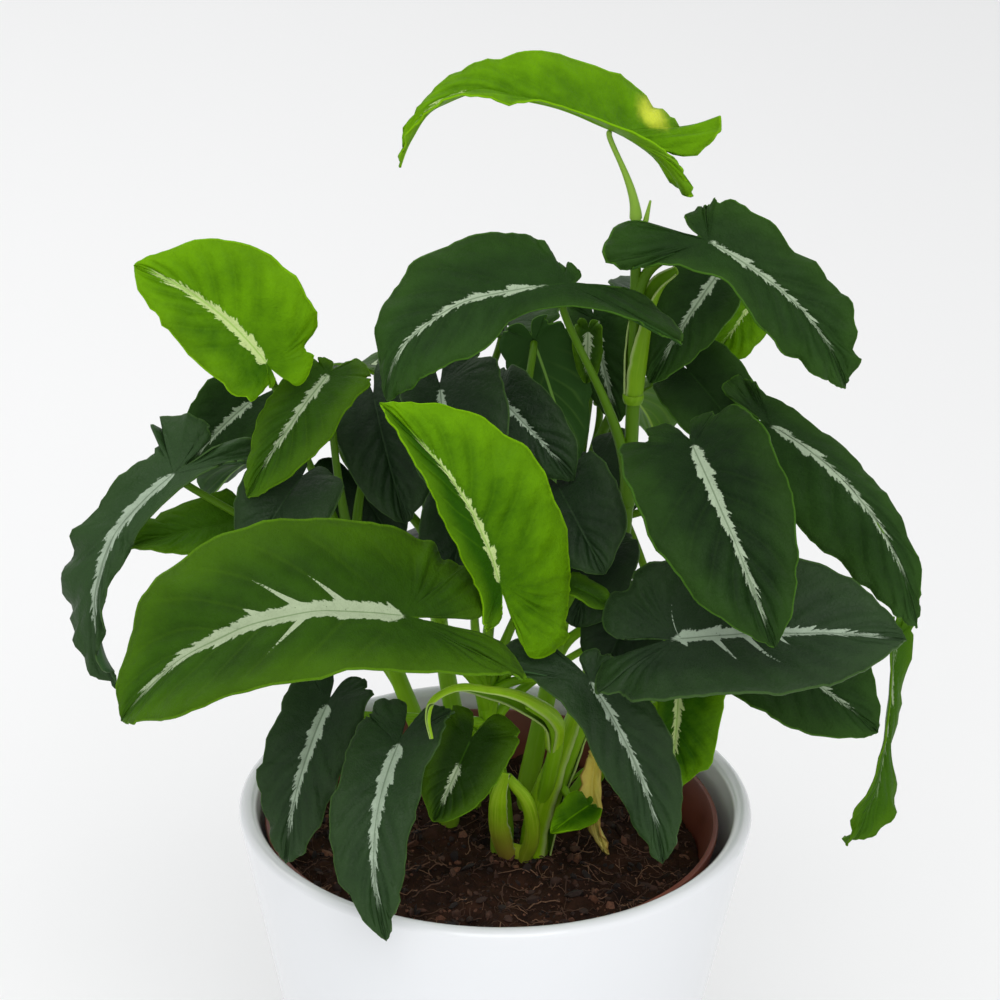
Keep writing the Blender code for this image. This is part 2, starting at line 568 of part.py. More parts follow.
def make_soil():
    """The peat: a tapered plug with a lumpy top and a plain hole for each stem."""
    foot = nursery_foot()
    low = foot + NURSERY_FLOOR + GAP
    wall = NURSERY_WALL + SOIL_SIDE_GAP
    cx, cy = NURSERY_SHIFT
    bm = bmesh.new()

    def ring(radius, height, lumpy):
        points = []
        for k in range(SOIL_SIDES):
            angle = 2 * math.pi * k / SOIL_SIDES
            x, y = cx + radius * math.cos(angle), cy + radius * math.sin(angle)
            z = height + (lump(x, y) if lumpy else 0)
            points.append(bm.verts.new((x * MM, y * MM, z * MM)))
        return points

    def join(a, b):
        for k in range(SOIL_SIDES):
            nxt = (k + 1) % SOIL_SIDES
            bm.faces.new((a[k], a[nxt], b[nxt], b[k]))

    edge = nursery_radius(SOIL_TOP - foot) - wall
    bottom = ring(nursery_radius(low - foot) - wall, low, False)
    rings = [ring(edge * (1 - k / SOIL_RINGS), SOIL_TOP, True) for k in range(SOIL_RINGS)]
    join(bottom, rings[0])
    for outer, inner in zip(rings, rings[1:]):
        join(outer, inner)
    peak = bm.verts.new((cx * MM, cy * MM, (SOIL_TOP + lump(cx, cy)) * MM))
    centre = bm.verts.new((cx * MM, cy * MM, low * MM))
    for k in range(SOIL_SIDES):
        nxt = (k + 1) % SOIL_SIDES
        bm.faces.new((rings[-1][k], rings[-1][nxt], peak))
        bm.faces.new((bottom[nxt], bottom[k], centre))
    bmesh.ops.triangulate(bm, faces=bm.faces)
    bmesh.ops.recalc_face_normals(bm, faces=bm.faces)
    soil = new_object("soil", mesh_from(bm, "soil"))
    holes = []
    for shoot in SHOOTS:
        x, y, _ = shoot.path[0]
        low_end = SOIL_TOP - STEM_DEPTH - GAP
        radius = shoot.radii[0] + STEM_HOLE_CLEARANCE
        holes.append(peg(x, y, low_end, SOIL_TOP + STEM_HOLE_OVERRUN, radius, STEM_HOLE_SIDES))
    cut(soil, holes, "stem_holes")
    shade_round(soil)
    paint(soil, "soil")


def stalk(points, radii):
    """A closed round tube along a line of points, with its radius changing along it."""
    line = bpy.data.curves.new("stalk", "CURVE")
    line.dimensions = "3D"
    line.bevel_depth = MM
    line.bevel_resolution = STALK_RESOLUTION
    line.use_fill_caps = True
    strand = line.splines.new("POLY")
    strand.points.add(len(points) - 1)
    for place, at, radius in zip(strand.points, points, radii):
        place.co = (*(Vector(at) * MM), 1)
        place.radius = radius
    obj = link(bpy.data.objects.new("stalk", line))
    bm = bmesh.new()
    bm.from_mesh(bpy.data.meshes.new_from_object(obj.evaluated_get(bpy.context.evaluated_depsgraph_get())))
    bpy.data.objects.remove(obj)
    bmesh.ops.remove_doubles(bm, verts=bm.verts, dist=WELD_DISTANCE)
    bmesh.ops.recalc_face_normals(bm, faces=bm.faces)
    return new_object("stalk", mesh_from(bm, "stalk"))


def stem_line(shoot, shares):
    """Points of a shoot's centre line above the soil."""
    return spline(shoot.path, shares)


def petiole_line(shoot, leaf):
    """Points of a leaf stalk, from inside its stem to just under the blade's joint."""
    joint, up = leaf_axes(leaf)[0], joint_normal(leaf)
    end = joint - up * (BLADE_THICKNESS / 2 + PETIOLE_GAP)
    start, before = stem_line(shoot, [leaf.height, max(leaf.height - STEM_STEP_SHARE, 0)])
    if leaf.height < STEM_STEP_SHARE:
        before = start - (0, 0, 1)
    first = start + unit(start - before) * leaf.rise
    second = end - up * leaf.reach
    t = np.linspace(0, 1, PETIOLE_POINTS)[:, None]
    return ((1 - t) ** 3 * start + 3 * t * (1 - t) ** 2 * first + 3 * t**2 * (1 - t) * second + t**3 * end)


def make_shoot(shoot):
    """One stem with the stalks of its leaves, joined into one solid."""
    x, y, low = shoot.path[0]
    above = stem_line(shoot, np.linspace(0, 1, len(shoot.path) + 2))
    foot = np.array([[x, y, SOIL_TOP - STEM_DEPTH], [x, y, low - STALK_SINK]])
    points = np.vstack([foot, above])
    radii = np.concatenate([[shoot.radii[0]] * 2, np.linspace(*shoot.radii, len(above))])
    stem = stalk(points, radii)
    stem.name = shoot.name
    parts = bpy.data.collections.new("stalks")
    bpy.context.scene.collection.children.link(parts)
    branches = [(sprout.path, sprout.radii) for sprout in SPROUTS if sprout.shoot == shoot.name]
    for leaf in LEAVES:
        if leaf.shoot == shoot.name:
            branches.append((petiole_line(shoot, leaf), np.linspace(*PETIOLE_RADII, PETIOLE_POINTS)))
    for line, radii in branches:
        piece = stalk(line, radii)
        bpy.context.scene.collection.objects.unlink(piece)
        parts.objects.link(piece)
    union = stem.modifiers.new("join", "BOOLEAN")
    union.operation = "UNION"
    union.operand_type = "COLLECTION"
    union.collection = parts
    union.solver = shoot.solver
    apply_modifiers(stem)
    stem.data.name = shoot.name
    clear_collection(parts)
    shade_round(stem)
    paint(stem, "stalk")


def make_leaf(leaf):
    """One blade: two halves that meet along the midrib, given their thickness by a Solidify modifier."""
    length = leaf_axes(leaf)[1]
    rows = BLADE_ROWS if length > SMALL_BLADE_LENGTH else SMALL_BLADE_ROWS
    bm = bmesh.new()
    for side in (1, -1):
        grid = blade_grid(leaf, side, rows, BLADE_COLUMNS) * MM
        verts = [[bm.verts.new(point) for point in row] for row in grid]
        for near, far in zip(verts, verts[1:]):
            for k in range(BLADE_COLUMNS):
                corners = [near[k], near[k + 1], far[k + 1], far[k]]
                bm.faces.new(corners if side < 0 else corners[::-1])
    bmesh.ops.remove_doubles(bm, verts=bm.verts, dist=WELD_DISTANCE)
    bmesh.ops.triangulate(bm, faces=bm.faces)
    bmesh.ops.recalc_face_normals(bm, faces=bm.faces)
    obj = new_object(leaf.name, mesh_from(bm, leaf.name))
    thicken = obj.modifiers.new("thickness", "SOLIDIFY")
    thicken.thickness = BLADE_THICKNESS * MM
    thicken.offset = 0
    shade_round(obj)
    paint(obj, leaf.colour)


def main():
    """Builds the pots, the soil, the shoots and the blades."""
    for obj in list(bpy.data.objects):
        bpy.data.objects.remove(obj)
    make_cover_pot()
    make_nursery_pot()
    make_soil()
    for shoot in SHOOTS:
        make_shoot(shoot)
    for leaf in LEAVES:
        make_leaf(leaf)


if __name__ == "__main__":
    main()
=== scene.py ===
"""Looks of the potted syngonium, an arrowhead plant in a white cover pot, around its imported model.

Lengths in the tables are millimetres and angles are degrees; meshes are made in metres.
The plant's front looks towards -Y, and every piece rides on the one body.
"""

import logging
import math
from collections.abc import Sequence
from dataclasses import dataclass
from enum import Enum
from functools import partial, reduce

import bpy
import numpy as np
from mathutils import Matrix, Vector, noise


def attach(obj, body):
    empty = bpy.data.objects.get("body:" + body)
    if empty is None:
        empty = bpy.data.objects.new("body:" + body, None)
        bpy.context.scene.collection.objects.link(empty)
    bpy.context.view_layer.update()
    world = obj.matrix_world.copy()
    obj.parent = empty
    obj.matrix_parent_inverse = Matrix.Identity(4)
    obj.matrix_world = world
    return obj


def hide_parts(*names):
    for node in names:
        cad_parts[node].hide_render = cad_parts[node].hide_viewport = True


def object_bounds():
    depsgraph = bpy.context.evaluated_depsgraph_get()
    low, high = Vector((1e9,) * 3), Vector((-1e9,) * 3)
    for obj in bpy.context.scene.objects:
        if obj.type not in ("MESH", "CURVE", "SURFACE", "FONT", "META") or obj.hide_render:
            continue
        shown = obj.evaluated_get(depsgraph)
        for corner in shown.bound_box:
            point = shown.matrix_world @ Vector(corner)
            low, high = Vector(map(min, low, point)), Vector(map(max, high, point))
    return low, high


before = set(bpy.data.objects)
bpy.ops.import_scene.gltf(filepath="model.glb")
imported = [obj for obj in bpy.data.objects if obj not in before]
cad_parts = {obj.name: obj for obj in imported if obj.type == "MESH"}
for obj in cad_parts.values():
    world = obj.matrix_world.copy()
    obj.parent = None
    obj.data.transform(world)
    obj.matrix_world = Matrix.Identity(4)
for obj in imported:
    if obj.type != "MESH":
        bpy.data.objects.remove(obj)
CAD_BOX = [list(corner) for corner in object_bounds()]

log = logging.getLogger("syngonium")

MM = 0.001
BODY = "root"
WELD = 2e-6
FULL_TURN = 2 * math.pi
Colour = tuple[float, float, float]
Point = tuple[float, float, float]
Numbers = Sequence[float] | np.ndarray
Socket = bpy.types.NodeSocket
Value = float | Colour | Socket

# The half of a blade in front of its joint takes this share of the margin, counted from the tip.
FRONT_SHARE = 0.5

# Side veins of half a blade, and how far they bend towards the tip on their way out.
SIDE_VEINS = 15.0
VEIN_BEND = 1.6
VEIN_CURVE = 1.4


def lerp(a: float | np.ndarray, b: float | np.ndarray, t: float | np.ndarray) -> float | np.ndarray:
    """The point a share t of the way from a to b."""
    return a + (b - a) * t


def unit(vector: np.ndarray) -> np.ndarray:
    """The vectors at length 1."""
    return vector / np.linalg.norm(vector, axis=-1, keepdims=True)


def smooth(value: np.ndarray, low: float, high: float) -> np.ndarray:
    """A soft step from 0 at low to 1 at high."""
    t = np.clip((value - low) / (high - low), 0, 1)
    return t * t * (3 - 2 * t)


def spline(points: Sequence, shares: Numbers) -> np.ndarray:
    """Points along a Catmull-Rom curve.

    Args:
        points: the points that the curve runs through.
        shares: places along it, from 0 to 1.

    Returns:
        One row of coordinates for each share.
    """
    pts = np.array(points, float)
    padded = np.vstack([2 * pts[0] - pts[1], pts, 2 * pts[-1] - pts[-2]])
    place = np.clip(np.asarray(shares, float), 0, 1) * (len(pts) - 1)
    span = np.minimum(place.astype(int), len(pts) - 2)
    t = (place - span)[:, None]
    a, b, c, d = (padded[span + k] for k in range(4))
    return 0.5 * (2 * b + (c - a) * t + (2 * a - 5 * b + 4 * c - d) * t**2 + (3 * b - a - 3 * c + d) * t**3)


def profile(values: Sequence[float], shares: Numbers) -> np.ndarray:
    """One number that changes smoothly along a line, read at each share of its length."""
    return spline([(value,) for value in values], shares)[:, 0]


def ripple(values: np.ndarray, seed: float, octaves: int = 3) -> np.ndarray:
    """Smooth noise between -1 and 1 along a line.

    Args:
        values: places along the line, one unit for each swing.
        seed: which line through the noise.
        octaves: how many finer layers it has.

    Returns:
        The noise at each place.
    """
    line = [noise.fractal((v, seed, 0.5 * seed), 1.0, 2.0, octaves) for v in np.ravel(values)]
    return np.reshape(np.array(line), np.shape(values))


def ring(angle: np.ndarray, side: np.ndarray, over: np.ndarray) -> np.ndarray:
    """Directions at the given angles from side towards over, one row each."""
    return np.cos(angle)[:, None] * side + np.sin(angle)[:, None] * over


def deselect() -> None:
    """Leaves nothing selected, so that an operator acts on the new piece alone."""
    for obj in list(bpy.context.selected_objects):
        obj.select_set(False)


def pick(obj: bpy.types.Object) -> None:
    """Makes one piece the only selected one, and the active one.

    Args:
        obj: the piece.
    """
    deselect()
    obj.select_set(True)
    bpy.context.view_layer.objects.active = obj


def grid_sheet(name: str, columns: int, rows: int) -> tuple[bpy.types.Object, np.ndarray]:
    """Adds a flat grid whose points are then placed by a formula.

    Args:
        name: the piece's name.
        columns: faces across.
        rows: faces along.

    Returns:
        The object, and each point's place across and along, both from -1 to 1.
    """
    deselect()
    bpy.ops.mesh.primitive_grid_add(x_subdivisions=columns, y_subdivisions=rows, size=2)
    obj = bpy.context.active_object
    obj.name = obj.data.name = name
    flat = np.zeros(len(obj.data.vertices) * 3)
    obj.data.vertices.foreach_get("co", flat)
    return obj, flat.reshape(-1, 3)[:, :2]


def place(obj: bpy.types.Object, points: np.ndarray) -> None:
    """Moves the mesh's points to the given places in millimetres."""
    obj.data.vertices.foreach_set("co", (points * MM).ravel())
    obj.data.update()


def note(obj: bpy.types.Object, name: str, values: np.ndarray) -> None:
    """Writes one number, or one vector, for each point of the mesh.

    Args:
        obj: the piece.
        name: the attribute that the finish reads.
        values: a number or three for each point.
    """
    kind, field = ("FLOAT_VECTOR", "vector") if values.ndim == 2 else ("FLOAT", "value")
    layer = obj.data.attributes.new(name, kind, "POINT")
    layer.data.foreach_set(field, values.astype(np.float32).ravel())


def weld(obj: bpy.types.Object, outward: bool = True) -> None:
    """Joins points that meet.

    Args:
        obj: the piece.
        outward: for a closed shape, also turns its faces outwards.
    """
    pick(obj)
    bpy.ops.object.mode_set(mode="EDIT")
    bpy.ops.mesh.select_all(action="SELECT")
    bpy.ops.mesh.remove_doubles(threshold=WELD)
    bpy.ops.mesh.dissolve_degenerate(threshold=WELD)
    if outward:
        bpy.ops.mesh.select_all(action="SELECT")
        bpy.ops.mesh.normals_make_consistent(inside=False)
    bpy.ops.object.mode_set(mode="OBJECT")


def modify(obj: bpy.types.Object, kind: str, **settings) -> None:
    """Adds a modifier and applies it.

    Args:
        obj: the piece.
        kind: the modifier's type.
        settings: the modifier's own properties.
    """
    pick(obj)
    modifier = obj.modifiers.new(kind.lower(), kind)
    for key, value in settings.items():
        setattr(modifier, key, value)
    bpy.ops.object.modifier_apply(modifier=modifier.name)


def thicken(obj: bpy.types.Object, thickness: float) -> None:
    """Gives a sheet its thickness in millimetres, half to each side, with the second finish inside."""
    modify(obj, "SOLIDIFY", thickness=thickness * MM, offset=0.0, material_offset=1)


def smooth_shade(obj: bpy.types.Object, angle: float = 180.0) -> None:
    """Shades the piece smooth, with edges sharper than the angle left crisp."""
    pick(obj)
    bpy.ops.object.shade_smooth_by_angle(angle=math.radians(angle))


def join(pieces: list[bpy.types.Object], name: str) -> bpy.types.Object:
    """Joins pieces into one.

    Args:
        pieces: the pieces, of which the first one takes in the others.
        name: the joined piece's name.

    Returns:
        The joined piece.
    """
    deselect()
    for obj in pieces:
        obj.select_set(True)
    bpy.context.view_layer.objects.active = pieces[0]
    bpy.ops.object.join()
    pieces[0].name = pieces[0].data.name = name
    return pieces[0]


def paint_with(obj: bpy.types.Object, *materials: bpy.types.Material) -> None:
    """Gives a piece its materials in place of any that it has.

    Args:
        obj: the piece.
        materials: its materials in order.
    """
    obj.data.materials.clear()
    for material in materials:
        obj.data.materials.append(material)


def finish_piece(obj: bpy.types.Object, slot: str, *nodes: str) -> None:
    """Says where a piece belongs.

    Args:
        obj: the piece, which rides on the one body.
        slot: not used.
        nodes: the nodes that it stands for, none for a piece that is only added.
    """
    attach(obj, BODY)
    if nodes:
        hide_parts(*nodes)


class Sheet:
    """A node tree with short calls that add nodes and join them."""

    def __init__(self, tree: bpy.types.NodeTree) -> None:
        """Keeps the tree that the calls work on."""
        self.tree = tree

    def add(self, kind: str, values: dict | None = None, **settings) -> bpy.types.Node:
        """Adds a node.

        Args:
            kind: the node's type name without its ShaderNode start.
            values: what its inputs are set to, or are joined to where it is an output socket.
            settings: the node's own properties.

        Returns:
            The node.
        """
        node = self.tree.nodes.new(f"ShaderNode{kind}")
        for key, value in settings.items():
            setattr(node, key, value)
        for key, value in (values or {}).items():
            self.feed(node.inputs[key], value)
        return node

    def feed(self, socket: Socket, value: Value) -> None:
        """Sets an input, or joins it to an output socket.

        Args:
            socket: the input.
            value: a number, a colour or an output socket.
        """
        if isinstance(value, bpy.types.NodeSocket):
            self.tree.links.new(value, socket)
        elif isinstance(value, tuple) and socket.type == "RGBA":
            socket.default_value = (*value, 1.0)
        else:
            socket.default_value = value

    def math(self, operation: str, *values: Value, clamp: bool = False) -> Socket:
        """The result of one sum on numbers or sockets."""
        node = self.add("Math", dict(enumerate(values)), operation=operation, use_clamp=clamp)
        return node.outputs[0]

    def times(self, *values: Value) -> Socket:
        """The product of the values."""
        return reduce(partial(self.math, "MULTIPLY"), values)

    def plus(self, *values: Value) -> Socket:
        """The sum of the values."""
        return reduce(partial(self.math, "ADD"), values)

    def minus(self, first: Value, second: Value) -> Socket:
        """The first value less the second."""
        return self.math("SUBTRACT", first, second)

    def size(self, value: Value) -> Socket:
        """The value without its sign."""
        return self.math("ABSOLUTE", value)

    def weigh(self, base: Value, *parts: tuple[Socket, float]) -> Socket:
        """The base plus each part times its weight."""
        return reduce(lambda total, part: self.math("MULTIPLY_ADD", *part, total), parts, base)

    def step(self, value: Value, low: Value, high: Value, start: Value = 0.0, end: Value = 1.0) -> Socket:
        """A soft step from start at low to end at high."""
        values = {"Value": value, "From Min": low, "From Max": high, "To Min": start, "To Max": end}
        return self.add("MapRange", values, interpolation_type="SMOOTHSTEP").outputs[0]

    def mix(self, share: Value, first: Value, second: Value) -> Socket:
        """Two colours mixed by a share."""
        return self.add("Mix", {0: share, 6: first, 7: second}, data_type="RGBA").outputs[2]

    def noise(self, vector: Socket, scale: Value, detail: float, roughness: float) -> Socket:
        """Procedural noise at the given scale."""
        values = {"Vector": vector, "Scale": scale, "Detail": detail, "Roughness": roughness}
        return self.add("TexNoise", values).outputs["Fac"]

    def position(self) -> Socket:
        """The place on the piece, in metres."""
        return self.add("TexCoord").outputs["Object"]

    def read(self, name: str, output: str = "Fac") -> Socket:
        """What the mesh carries under a name: a number, or a vector where output is Vector."""
        return self.add("Attribute", attribute_name=name, attribute_type="GEOMETRY").outputs[output]

    def map_parts(self) -> tuple[Socket, Socket]:
        """The place on the piece's own map, across and along."""
        return tuple(self.split(self.add("UVMap", uv_map="UVMap").outputs[0])[:2])

    def split(self, vector: Socket) -> tuple[Socket, Socket, Socket]:
        """The three parts of a vector."""
        return tuple(self.add("SeparateXYZ", {"Vector": vector}).outputs)

    def merge(self, *parts: Value) -> Socket:
        """A vector made of its parts."""
        return self.add("CombineXYZ", dict(enumerate(parts))).outputs[0]

    def group(self, name: str, **values: Value) -> bpy.types.bpy_prop_collection:
        """Places a node group with its own values, and gives its outputs."""
        node = self.add("Group", values, node_tree=Group.made[name])
        return node.outputs

    def mottle(self, scale: float, contrast: float) -> Socket:
        """Soft uneven shade at the given scale and contrast."""
        return self.group("mottle", Scale=scale, Contrast=contrast)["Shade"]

    def vein_phase(self) -> tuple[Socket, Socket, Socket]:
        """Where a point lies among the side veins.

        Returns:
            The vein count from the tip, the share across from midrib to margin, and the side.
        """
        across, along = self.map_parts()
        side = self.math("MULTIPLY_ADD", across, 2.0, -1.0)
        across = self.size(side)
        bent = self.times(self.math("POWER", across, VEIN_CURVE), VEIN_BEND)
        return self.weigh(bent, (self.minus(1.0, along), SIDE_VEINS)), across, side


class Group(Sheet):
    """A node group with named inputs and outputs, built once and placed in each finish."""

    made: dict[str, bpy.types.NodeTree] = {}

    def __init__(self, name: str, inputs: dict[str, float], outputs: tuple[str, ...]) -> None:
        """Makes the group's tree and its sockets.

        Args:
            name: the group's name.
            inputs: each number that it takes, with its usual value.
            outputs: each number that it gives.
        """
        tree = bpy.data.node_groups.new(name, "ShaderNodeTree")
        super().__init__(tree)
        for key, value in inputs.items():
            socket = tree.interface.new_socket(key, in_out="INPUT", socket_type="NodeSocketFloat")
            socket.default_value = value
        for key in outputs:
            tree.interface.new_socket(key, in_out="OUTPUT", socket_type="NodeSocketFloat")
        self.given = tree.nodes.new("NodeGroupInput").outputs
        self.result = tree.nodes.new("NodeGroupOutput").inputs
        Group.made[name] = tree


class StripeGroup(Group):
    """The pale stripe along the midrib, with ragged teeth and broken streaks along the side veins.

    BREAKING, THINNEST, EDGE, MIDLINE and JOINT are soft steps over millimetres on the blade, and
    STREAK_VEIN and STREAK_VEINS count side veins from the tip. The seeds set each row's draw apart.
    """

    GRAIN = (6.0, 5.0, 7.0)
    GRAIN_NOISE = (1.0, 4.0, 0.7)
    GRAIN_WEIGHT = 3.0
    SPECK_NOISE = (1700.0, 2.0, 0.6)
    ROW_SEED = 31.0
    STREAK_SEED = 57.0
    SMALL_SEED = 97.0
    PEAK_SHARPNESS = 4.0
    STREAK_SHARPNESS = 9.0
    SMALL_SHARPNESS = 3.0
    SMALL_TEETH = 4.0
    SMALL_HEIGHT = 0.7
    STREAK_LUCK = (0.40, 0.85)
    STREAK_VEIN = FRONT_SHARE * SIDE_VEINS - 1.0
    STREAK_VEINS = (1.5, 4.5)
    BREAKING = (0.6, 10.0, 0.26, 0.58)
    HOLE = (-0.04, 0.08)
    THINNEST = (0.05, 0.35)
    EDGE = (-0.12, 0.22)
    MIDLINE = (0.10, 0.32)
    JOINT = (-0.5, 0.5)

    def __init__(self) -> None:
        """Builds the group from the blade's flat pattern and its veins."""
        super().__init__("pale_stripe", {"Ragged": 0.9, "Tooth": 0.9, "Streak": 9.0}, ("Stripe", "Midline"))
        ahead, aside, half = self.split(self.read("flat", "Vector"))
        phase, across, side = self.vein_phase()
        right = self.math("GREATER_THAN", side, 0.0)
        speck = self.noise(self.position(), *self.SPECK_NOISE)
        grain = self.merge(*(self.times(*pair) for pair in zip((phase, across, right), self.GRAIN)))
        rough = self.noise(grain, *self.GRAIN_NOISE)
        worn = self.weigh(self.minus(speck, 0.5), (self.minus(rough, 0.5), self.GRAIN_WEIGHT))
        worn = self.times(worn, self.given["Ragged"])
        reach = self.plus(half, worn, self.teeth(phase, right))
        outer = self.step(self.minus(aside, half), *self.BREAKING)
        whole = self.step(self.minus(speck, outer), *self.HOLE)
        field = self.step(self.minus(reach, aside), *self.EDGE)
        self.feed(self.result["Stripe"], self.times(field, self.step(half, *self.THINNEST), whole))
        line = self.step(aside, *self.MIDLINE, 1.0, 0.0)
        self.feed(self.result["Midline"], self.times(line, self.step(ahead, *self.JOINT)))

    def teeth(self, phase: Socket, right: Socket) -> Socket:
        """How far the stripe's teeth and streaks run out.

        Args:
            phase: the vein count from the tip.
            right: 1 on the right half and 0 on the left one.

        Returns:
            The reach beyond the stripe's even edge.
        """
        row = self.times(right, self.ROW_SEED)
        peak, chance = self.tooth_row(phase, row, self.PEAK_SHARPNESS)
        tooth = self.times(peak, chance, self.given["Tooth"])
        thin, luck = self.tooth_row(phase, self.plus(row, self.STREAK_SEED), self.STREAK_SHARPNESS)
        near = self.step(self.size(self.minus(phase, self.STREAK_VEIN)), *self.STREAK_VEINS, 1.0, 0.0)
        lucky = self.step(luck, *self.STREAK_LUCK)
        streak = self.times(self.read("streaks"), self.given["Streak"], near, thin, lucky)
        row = self.times(right, self.SMALL_SEED)
        small, chance = self.tooth_row(self.times(phase, self.SMALL_TEETH), row, self.SMALL_SHARPNESS)
        return self.plus(tooth, streak, self.times(chance, chance, small, self.SMALL_HEIGHT))

    def tooth_row(self, phase: Socket, seed: Socket, sharpness: float) -> tuple[Socket, Socket]:
        """Pointed teeth in a row, one for each whole step of the phase.

        Args:
            phase: the place along the row.
            seed: a number that sets the draw of this row apart.
            sharpness: how narrow each tooth is.

        Returns:
            The tooth's profile, from 0 to 1, and its own random number.
        """
        index = self.plus(seed, self.math("FLOOR", phase))
        chance = self.add("TexWhiteNoise", {"W": index}, noise_dimensions="1D").outputs["Value"]
        off = self.size(self.minus(self.math("FRACT", phase), 0.5))
        return self.math("SUBTRACT", 1.0, self.times(off, sharpness), clamp=True), chance


class VeinGroup(Group):
    """Side veins and the fine net between them, as a line mask, a height and a soft quilting shade."""

    QUILT_START = (0.02, 0.30)
    MARGIN = (0.80, 0.97)
    CUSHION = (0.0, 0.42)
    JOINT_FADE = (3.0, 18.0)
    NET_LINE = (0.0, 0.12)
    NET_HEIGHT = 0.12

    def __init__(self) -> None:
        """Builds the group."""
        super().__init__("side_veins", {"Line": 0.10, "Net": 900.0}, ("Line", "Height", "Quilt"))
        phase, across, _ = self.vein_phase()
        off = self.size(self.minus(self.math("FRACT", phase), 0.5))
        ahead, aside, _ = self.split(self.read("flat", "Vector"))
        reach = self.math("SQRT", self.plus(self.times(ahead, ahead), self.times(aside, aside)))
        shown = self.times(self.step(across, *self.MARGIN, 1.0, 0.0), self.step(reach, *self.JOINT_FADE))
        line = self.step(off, 0.0, self.given["Line"], 1.0, 0.0)
        self.feed(self.result["Line"], self.times(line, shown))
        quilt = self.times(self.step(off, *self.CUSHION), self.step(across, *self.QUILT_START), shown)
        self.feed(self.result["Quilt"], quilt)
        values = {"Vector": self.position(), "Scale": self.given["Net"]}
        net = self.add("TexVoronoi", values, feature="DISTANCE_TO_EDGE").outputs["Distance"]
        height = self.weigh(quilt, (self.step(net, *self.NET_LINE), self.NET_HEIGHT))
        self.feed(self.result["Height"], height)


class MottleGroup(Group):
    """Soft uneven shade in clouds."""

    DETAIL = 4.0
    ROUGHNESS = 0.6

    def __init__(self) -> None:
        """Builds the group."""
        super().__init__("mottle", {"Scale": 40.0, "Contrast": 1.0}, ("Shade",))
        cloud = self.noise(self.position(), self.given["Scale"], self.DETAIL, self.ROUGHNESS)
        spread = self.times(self.minus(cloud, 0.5), self.given["Contrast"])
        self.feed(self.result["Shade"], self.math("ADD", spread, 0.5, clamp=True))


@dataclass(frozen=True)
class Band:
    """A colour that fades in or out between two heights in metres.

    start and end are its shares at the lower and at the upper height.
    """

    low: float
    high: float
    start: float
    end: float
    colour: Colour


class Paint(Sheet):
    """A new material's node tree and its shader."""

    def __init__(self, name: str) -> None:
        """Makes the material.

        Args:
            name: the finish's name.
        """
        self.material = bpy.data.materials.new(name)
        self.material.use_nodes = True
        super().__init__(self.material.node_tree)
        self.shader = self.tree.nodes["Principled BSDF"].inputs

    def coat(self, values: dict[str, Value]) -> None:
        """Sets or joins the shader's inputs by their names."""
        for key, value in values.items():
            self.feed(self.shader[key], value)

    def band(self, band: Band) -> Socket:
        """How much of the band's colour shows at each height."""
        height = self.split(self.position())[2]
        return self.step(height, band.low, band.high, band.start, band.end)

    def bump(self, height: Socket, strength: float, distance: float) -> None:
        """Feeds a height to the shader's normal.

        Args:
            height: the relief, from 0 to 1.
            strength: how much of it shows.
            distance: how high a relief of 1 stands, in millimetres.
        """
        node = self.add("Bump", {"Height": height, "Strength": strength, "Distance": distance * MM})
        self.feed(self.shader["Normal"], node.outputs["Normal"])


class Tone(Enum):
    """The kinds of blade, by age."""

    VELVET = "velvet"
    DEEP = "deep"
    MID = "mid"
    FRESH = "fresh"
    WITHERED = "withered"


